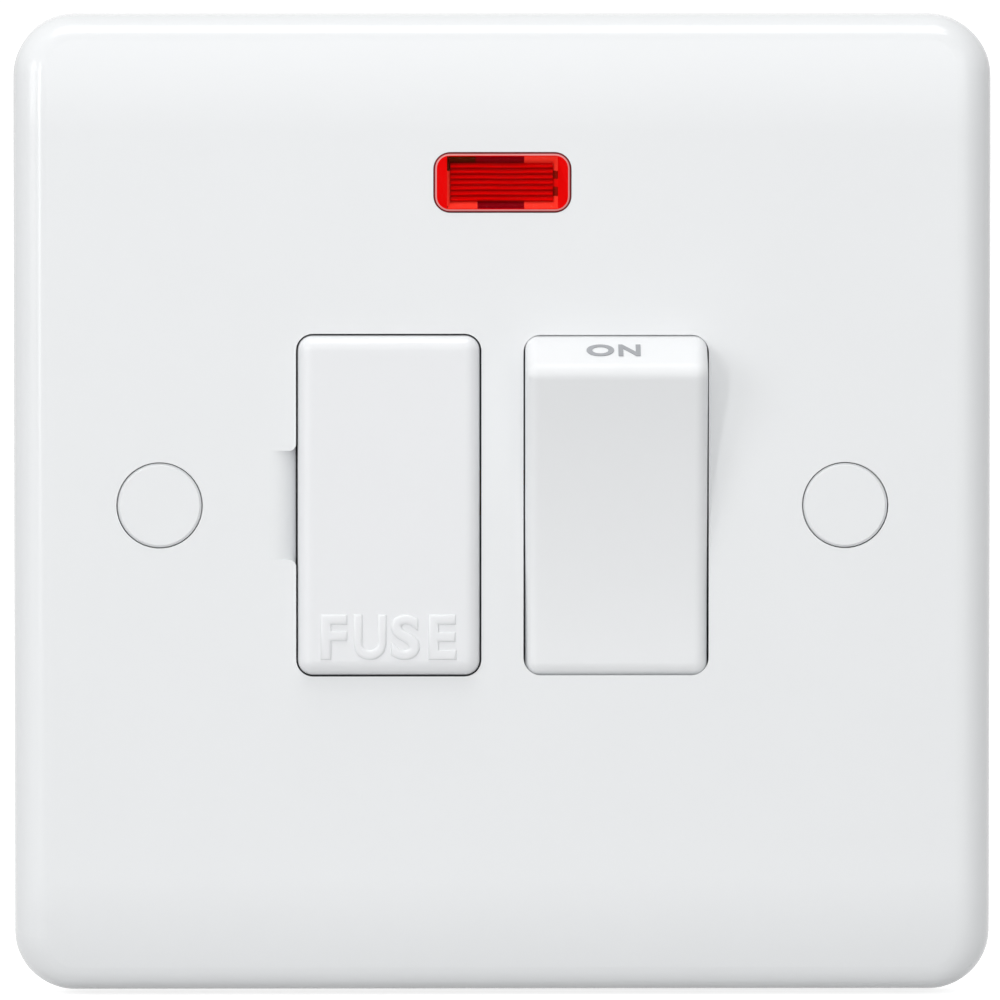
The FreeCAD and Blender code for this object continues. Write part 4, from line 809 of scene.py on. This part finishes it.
def letter(text, height, raised, soft, weight=0.0, width=None, flatten=1.0):
    """A flat mesh of the text with its lower left corner at the origin, facing +Z."""
    bpy.ops.object.select_all(action="DESELECT")
    bpy.ops.object.text_add(location=(0, 0, 0))
    piece = bpy.context.active_object
    piece.name = "letter_" + text
    piece.data.body = text
    piece.data.size = height * MM / CAPITAL_SHARE
    piece.data.extrude = (raised - soft) * MM
    piece.data.bevel_depth = soft * MM
    piece.data.bevel_resolution = 3
    piece.data.resolution_u = 6
    piece.data.offset = weight * MM
    bpy.ops.object.convert(target="MESH")
    corners = [corner.co for corner in piece.data.vertices]
    low = [min(corner[axis] for corner in corners) for axis in (X, Y)]
    high = [max(corner[axis] for corner in corners) for axis in (X, Y)]
    tall = height * MM / (high[Y] - low[Y])
    wide = tall if width is None else width * MM / (high[X] - low[X])
    piece.location = (-low[X] * wide, -low[Y] * tall, 0)
    piece.scale = (wide, tall, flatten)
    settle(piece)
    return piece


def stand(piece, turn, place):
    """Turns a flat letter by Euler angles in degrees and puts it in place."""
    piece.rotation_euler = [math.radians(angle) for angle in turn]
    piece.location = [where * MM for where in place]
    settle(piece)
    only(piece)
    bpy.ops.object.mode_set(mode="EDIT")
    bpy.ops.mesh.select_all(action="SELECT")
    bpy.ops.mesh.remove_doubles(threshold=1e-7)
    close_edit(40)
    return piece


fuse_letters = [stand(letter(text, FUSE_HEIGHT, FUSE_ROUND, FUSE_ROUND, weight=FUSE_WEIGHT,
                             width=width, flatten=FUSE_FLATTEN),
                      (90, 0, 0), (left, DRAWER_FRONT, FUSE_BASE))
                for text, left, width in FUSE_LETTERS]
fuse_word = unite(*fuse_letters)
fuse_word.name = "fuse_lettering"
fit(fuse_word, "fuse_drawer", "carrier_moulding", drawer_white)
print("FUSE", len(fuse_word.data.polygons), "faces")

# %% [markdown]
# ## Printed ON
#
# The word ON is printed in grey on the rocker's raised end, which is part of a cylinder about
# the pivot. The print has next to no thickness, so the letters are thin flat pieces laid along
# the surface at their own angle round the pivot.

# %% ON
PIVOT_Y = -4.5
ROCKER_RADIUS = 15.656
PRINT_PROUD, PRINT_WEIGHT = 0.03, 0.08
ON_LETTERS = (("O", 7.35, 2.43), ("N", 10.15, 1.95))
ON_START, ON_END = 58.0, 64.8
print_grey = moulded("print_grey", (0.34, 0.35, 0.37), 0.5, tone=0.08)


def make_on():
    middle = math.radians((ON_START + ON_END) / 2)
    tall = ROCKER_RADIUS * math.radians(ON_END - ON_START)
    out = ROCKER_RADIUS + PRINT_PROUD
    word = []
    for text, left, width in ON_LETTERS:
        flat = letter(text, tall, PRINT_PROUD, 0.0, weight=PRINT_WEIGHT, width=width)
        low = (PIVOT_Y - out * math.cos(middle) + tall / 2 * -math.sin(middle),
               out * math.sin(middle) - tall / 2 * math.cos(middle))
        word.append(stand(flat, (90 - math.degrees(middle), 0, 0), (left, low[0], low[1])))
    return unite(*word)


on_word = make_on()
on_word.name = "on_print"
fit(on_word, "rocker", "rocker_moulding", print_grey)
print("ON", len(on_word.data.polygons), "faces")

# %% [markdown]
# ## Screws
#
# The two wall screws are machine screws with a slotted pan head, the clamp screws and the
# housing screws have slotted cheese heads. All are made by one recipe: a turned head with a
# rounded rim and a sawn slot, a core, and a thread that one small triangle cuts as it climbs
# round the core. Each kind is modelled once and copied to its places.

# %% Threaded screws
SLOT_WIDTH, SLOT_DEPTH = 0.8, 0.8
CORE_SHARE, PITCH_SHARE, TIP_SHARE = 0.84, 0.34, 0.4


def turned(name, radius, start, end, rim=0.0, rim_end=None, sides=40):
    """A cylinder along Y between two depths, with one rim rounded off."""
    bpy.ops.object.select_all(action="DESELECT")
    bpy.ops.mesh.primitive_cylinder_add(
        vertices=sides, radius=radius * MM, depth=abs(end - start) * MM,
        location=(0, (start + end) / 2 * MM, 0), rotation=(math.radians(90), 0, 0))
    piece = bpy.context.active_object
    piece.name = name
    settle(piece)
    if rim:
        edit(piece, "EDGE", lambda edge: at(edge, Y, rim_end * MM))
        bpy.ops.mesh.bevel(offset=rim * MM, segments=4, affect="EDGES")
        close_edit()
    else:
        edit(piece, "FACE", lambda face: False)
        close_edit()
    return piece


def close_ends(piece, smooth_below):
    """Fills the two open ends of a wound tube."""
    edit(piece, "EDGE", lambda edge: edge.is_boundary)
    bpy.ops.mesh.fill_holes(sides=0)
    close_edit(smooth_below)


def threads(core, outer, pitch, start, turns):
    """The crest of a thread: a triangle carried round and along the core."""
    size = pitch * 0.5
    bpy.ops.object.select_all(action="DESELECT")
    bpy.ops.mesh.primitive_circle_add(vertices=3, radius=size * MM, fill_type="NOTHING",
                                      rotation=(0, 0, math.radians(-90)),
                                      location=((outer - size) * MM, start * MM, 0))
    piece = bpy.context.active_object
    settle(piece)
    climb = piece.modifiers.new("climb", "SCREW")
    climb.axis = "Y"
    climb.steps = climb.render_steps = 20
    climb.screw_offset = pitch * MM
    climb.iterations = turns
    bpy.ops.object.modifier_apply(modifier=climb.name)
    close_ends(piece, 20)
    return piece


def slotted_screw(name, head_radius, head_height, rim, thread_radius, thread_start, length):
    """Seat at y = 0, head towards -Y, thread towards +Y."""
    head = turned(name, head_radius, -head_height, 0, rim, -head_height)
    slot = box_piece("slot", (-head_radius * 2, -head_height * 2, -SLOT_WIDTH / 2),
                     (head_radius * 2, SLOT_DEPTH - head_height, SLOT_WIDTH / 2))
    cut_away(head, slot)
    core = thread_radius * CORE_SHARE
    tip = thread_radius * TIP_SHARE
    shank = turned("shank", core, -0.05, length, tip, length)
    pitch = thread_radius * PITCH_SHARE
    turns = int((length - thread_start - tip) / pitch)
    return unite(head, shank, threads(core, thread_radius, pitch, thread_start, turns))


def copies(template, places, facing_back):
    """The template copied to each place as its own mesh, joined, and the template removed."""
    placed = []
    for place in places:
        twin = bpy.data.objects.new(template.name + "_twin", template.data.copy())
        bpy.context.scene.collection.objects.link(twin)
        twin.rotation_euler = (0, 0, math.pi if facing_back else 0)
        twin.location = [where * MM for where in place]
        settle(twin)
        placed.append(twin)
    bpy.data.objects.remove(template)
    return unite(*placed)


def middle_of(name, axis):
    low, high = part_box(name)
    return (low[axis] + high[axis]) / 2 / MM


# each kind: head's radius and height, its rim, the thread's radius and where it starts
WALL_SCREW = (3.2, 2.1, 0.75, 1.75, 2.0)
CLAMP_SCREW = (2.6, 1.6, 0.4, 1.7, 0.3)
HOUSING_SCREW = (2.4, 1.5, 0.45, 1.3, 0.4)
HEIGHT = 1


def wall_screw(name):
    low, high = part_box(name)
    seat = low[Y] / MM + WALL_SCREW[HEIGHT]
    template = slotted_screw("wall_screw", *WALL_SCREW, high[Y] / MM - seat)
    piece = copies(template, [(middle_of(name, X), seat, 0)], False)
    piece.name = name + "_threaded"
    fit(piece, "unit", "plated_steel", plated_steel)
    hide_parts(name)
    return piece


EAR_X, EAR_Z = 24.6, 21.0
CLAMP_Z = middle_of("terminal_supply_line", Z)
EARTH_X, EARTH_HALF = middle_of("terminal_earth", X), 3.9
CLAMP_PLACES = ((middle_of("terminal_supply_line", X), 1),
                (middle_of("terminal_supply_neutral", X), 1),
                (EARTH_X - EARTH_HALF, 1), (EARTH_X + EARTH_HALF, 1),
                (middle_of("terminal_load_line", X), -1), (middle_of("terminal_load_neutral", X), -1))


def clamp_screws():
    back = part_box("terminal_screws")[1][Y] / MM
    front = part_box("terminal_screws")[0][Y] / MM
    seat = back - CLAMP_SCREW[HEIGHT]
    template = slotted_screw("clamp_screw", *CLAMP_SCREW, seat - front)
    piece = copies(template, [(x, seat, end * CLAMP_Z) for x, end in CLAMP_PLACES], True)
    piece.name = "clamp_screws_threaded"
    fit(piece, "unit", "brass_screw", turned_brass)
    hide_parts("terminal_screws")
    return piece


def housing_screw_set():
    low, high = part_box("housing_screws")
    seat = high[Y] / MM - HOUSING_SCREW[HEIGHT]
    template = slotted_screw("housing_screw", *HOUSING_SCREW, seat - low[Y] / MM)
    piece = copies(template, [(side * EAR_X, seat, end * EAR_Z)
                              for side in (-1, 1) for end in (-1, 1)], True)
    piece.name = "housing_screws_threaded"
    fit(piece, "unit", "plated_steel", plated_steel)
    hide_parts("housing_screws")
    return piece


screw_pieces = [wall_screw("fixing_screw_left"), wall_screw("fixing_screw_right"),
                clamp_screws(), housing_screw_set()]
print("screws", [len(piece.data.polygons) for piece in screw_pieces], "faces")

# %% [markdown]
# ## Plunger springs
#
# Each plunger is pushed back onto its see-saw by a small coil in the rocker's sleeve. The wire
# is a ring carried round and along the sleeve's axis, which leans with the rocker.

# %% Springs
ROCKER_LEAN = 10.0
COIL_RADIUS, WIRE_RADIUS = 0.95, 0.15
COIL_START, COIL_END = -4.5, 1.75
COIL_TURNS = 5


def sleeve_point(x, out):
    """A place on the axis of a sleeve, in metres."""
    lean = math.radians(ROCKER_LEAN)
    return (x * MM, (PIVOT_Y + out * math.cos(lean)) * MM, out * math.sin(lean) * MM)


def make_spring(pole):
    x = middle_of("spring_" + pole, X)
    bpy.ops.object.select_all(action="DESELECT")
    bpy.ops.mesh.primitive_circle_add(vertices=10, radius=WIRE_RADIUS * MM, fill_type="NOTHING",
                                      location=(COIL_RADIUS * MM,
                                                (COIL_START + WIRE_RADIUS) * MM, 0))
    piece = bpy.context.active_object
    piece.name = "coil_" + pole
    settle(piece)
    wind = piece.modifiers.new("wind", "SCREW")
    wind.axis = "Y"
    wind.steps = wind.render_steps = 28
    wind.screw_offset = (COIL_END - COIL_START - 2 * WIRE_RADIUS) / COIL_TURNS * MM
    wind.iterations = COIL_TURNS
    bpy.ops.object.modifier_apply(modifier=wind.name)
    close_ends(piece, 50)
    piece.rotation_euler = (math.radians(ROCKER_LEAN), 0, 0)
    piece.location = sleeve_point(x, 0)
    settle(piece)
    fit(piece, "rocker", "spring_steel", spring_wire)
    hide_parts("spring_" + pole)
    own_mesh(piece)
    return piece


springs = [make_spring(pole) for pole in ("line", "neutral")]
print("springs", [len(piece.data.polygons) for piece in springs], "faces")

# %% [markdown]
# ## Marks on the back
#
# The housing of such a unit tells the fitter which terminal takes which wire. The letters are
# moulded just proud of the back, beside their terminals, with SUPPLY and LOAD in the shallow
# recess between them.

# %% Back marks
BACK_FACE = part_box("rear_housing")[1][Y] / MM
RECESS_FLOOR = BACK_FACE - 1.9
BAND_MIDDLE, WORD_MIDDLE = 16.63, 12.6
MARK_HEIGHT, WORD_HEIGHT = 1.4, 1.9
MARKS = (("L", middle_of("terminal_supply_line", X), BAND_MIDDLE, BACK_FACE, MARK_HEIGHT),
         ("N", middle_of("terminal_supply_neutral", X), BAND_MIDDLE, BACK_FACE, MARK_HEIGHT),
         ("E", EARTH_X, BAND_MIDDLE, BACK_FACE, MARK_HEIGHT),
         ("L", middle_of("terminal_load_line", X), -BAND_MIDDLE, BACK_FACE, MARK_HEIGHT),
         ("N", middle_of("terminal_load_neutral", X), -BAND_MIDDLE, BACK_FACE, MARK_HEIGHT),
         ("SUPPLY", 0.0, WORD_MIDDLE, RECESS_FLOOR, WORD_HEIGHT),
         ("LOAD", 0.0, -WORD_MIDDLE, RECESS_FLOOR, WORD_HEIGHT))
MARK_RAISED, MARK_SOFT, MARK_WEIGHT = 0.22, 0.06, 0.03


def make_mark(text, x, z, depth, height):
    """A mark that reads rightly from behind, centred on its place."""
    flat = letter(text, height, MARK_RAISED, MARK_SOFT, weight=MARK_WEIGHT)
    width = max(corner.co[X] for corner in flat.data.vertices) / MM
    return stand(flat, (90, 0, 180), (x + width / 2, depth, z - height / 2))


back_marks = unite(*[make_mark(*mark) for mark in MARKS])
back_marks.name = "back_marks"
fit(back_marks, "unit", "housing_moulding", housing_white)
print("back marks", len(back_marks.data.polygons), "faces")
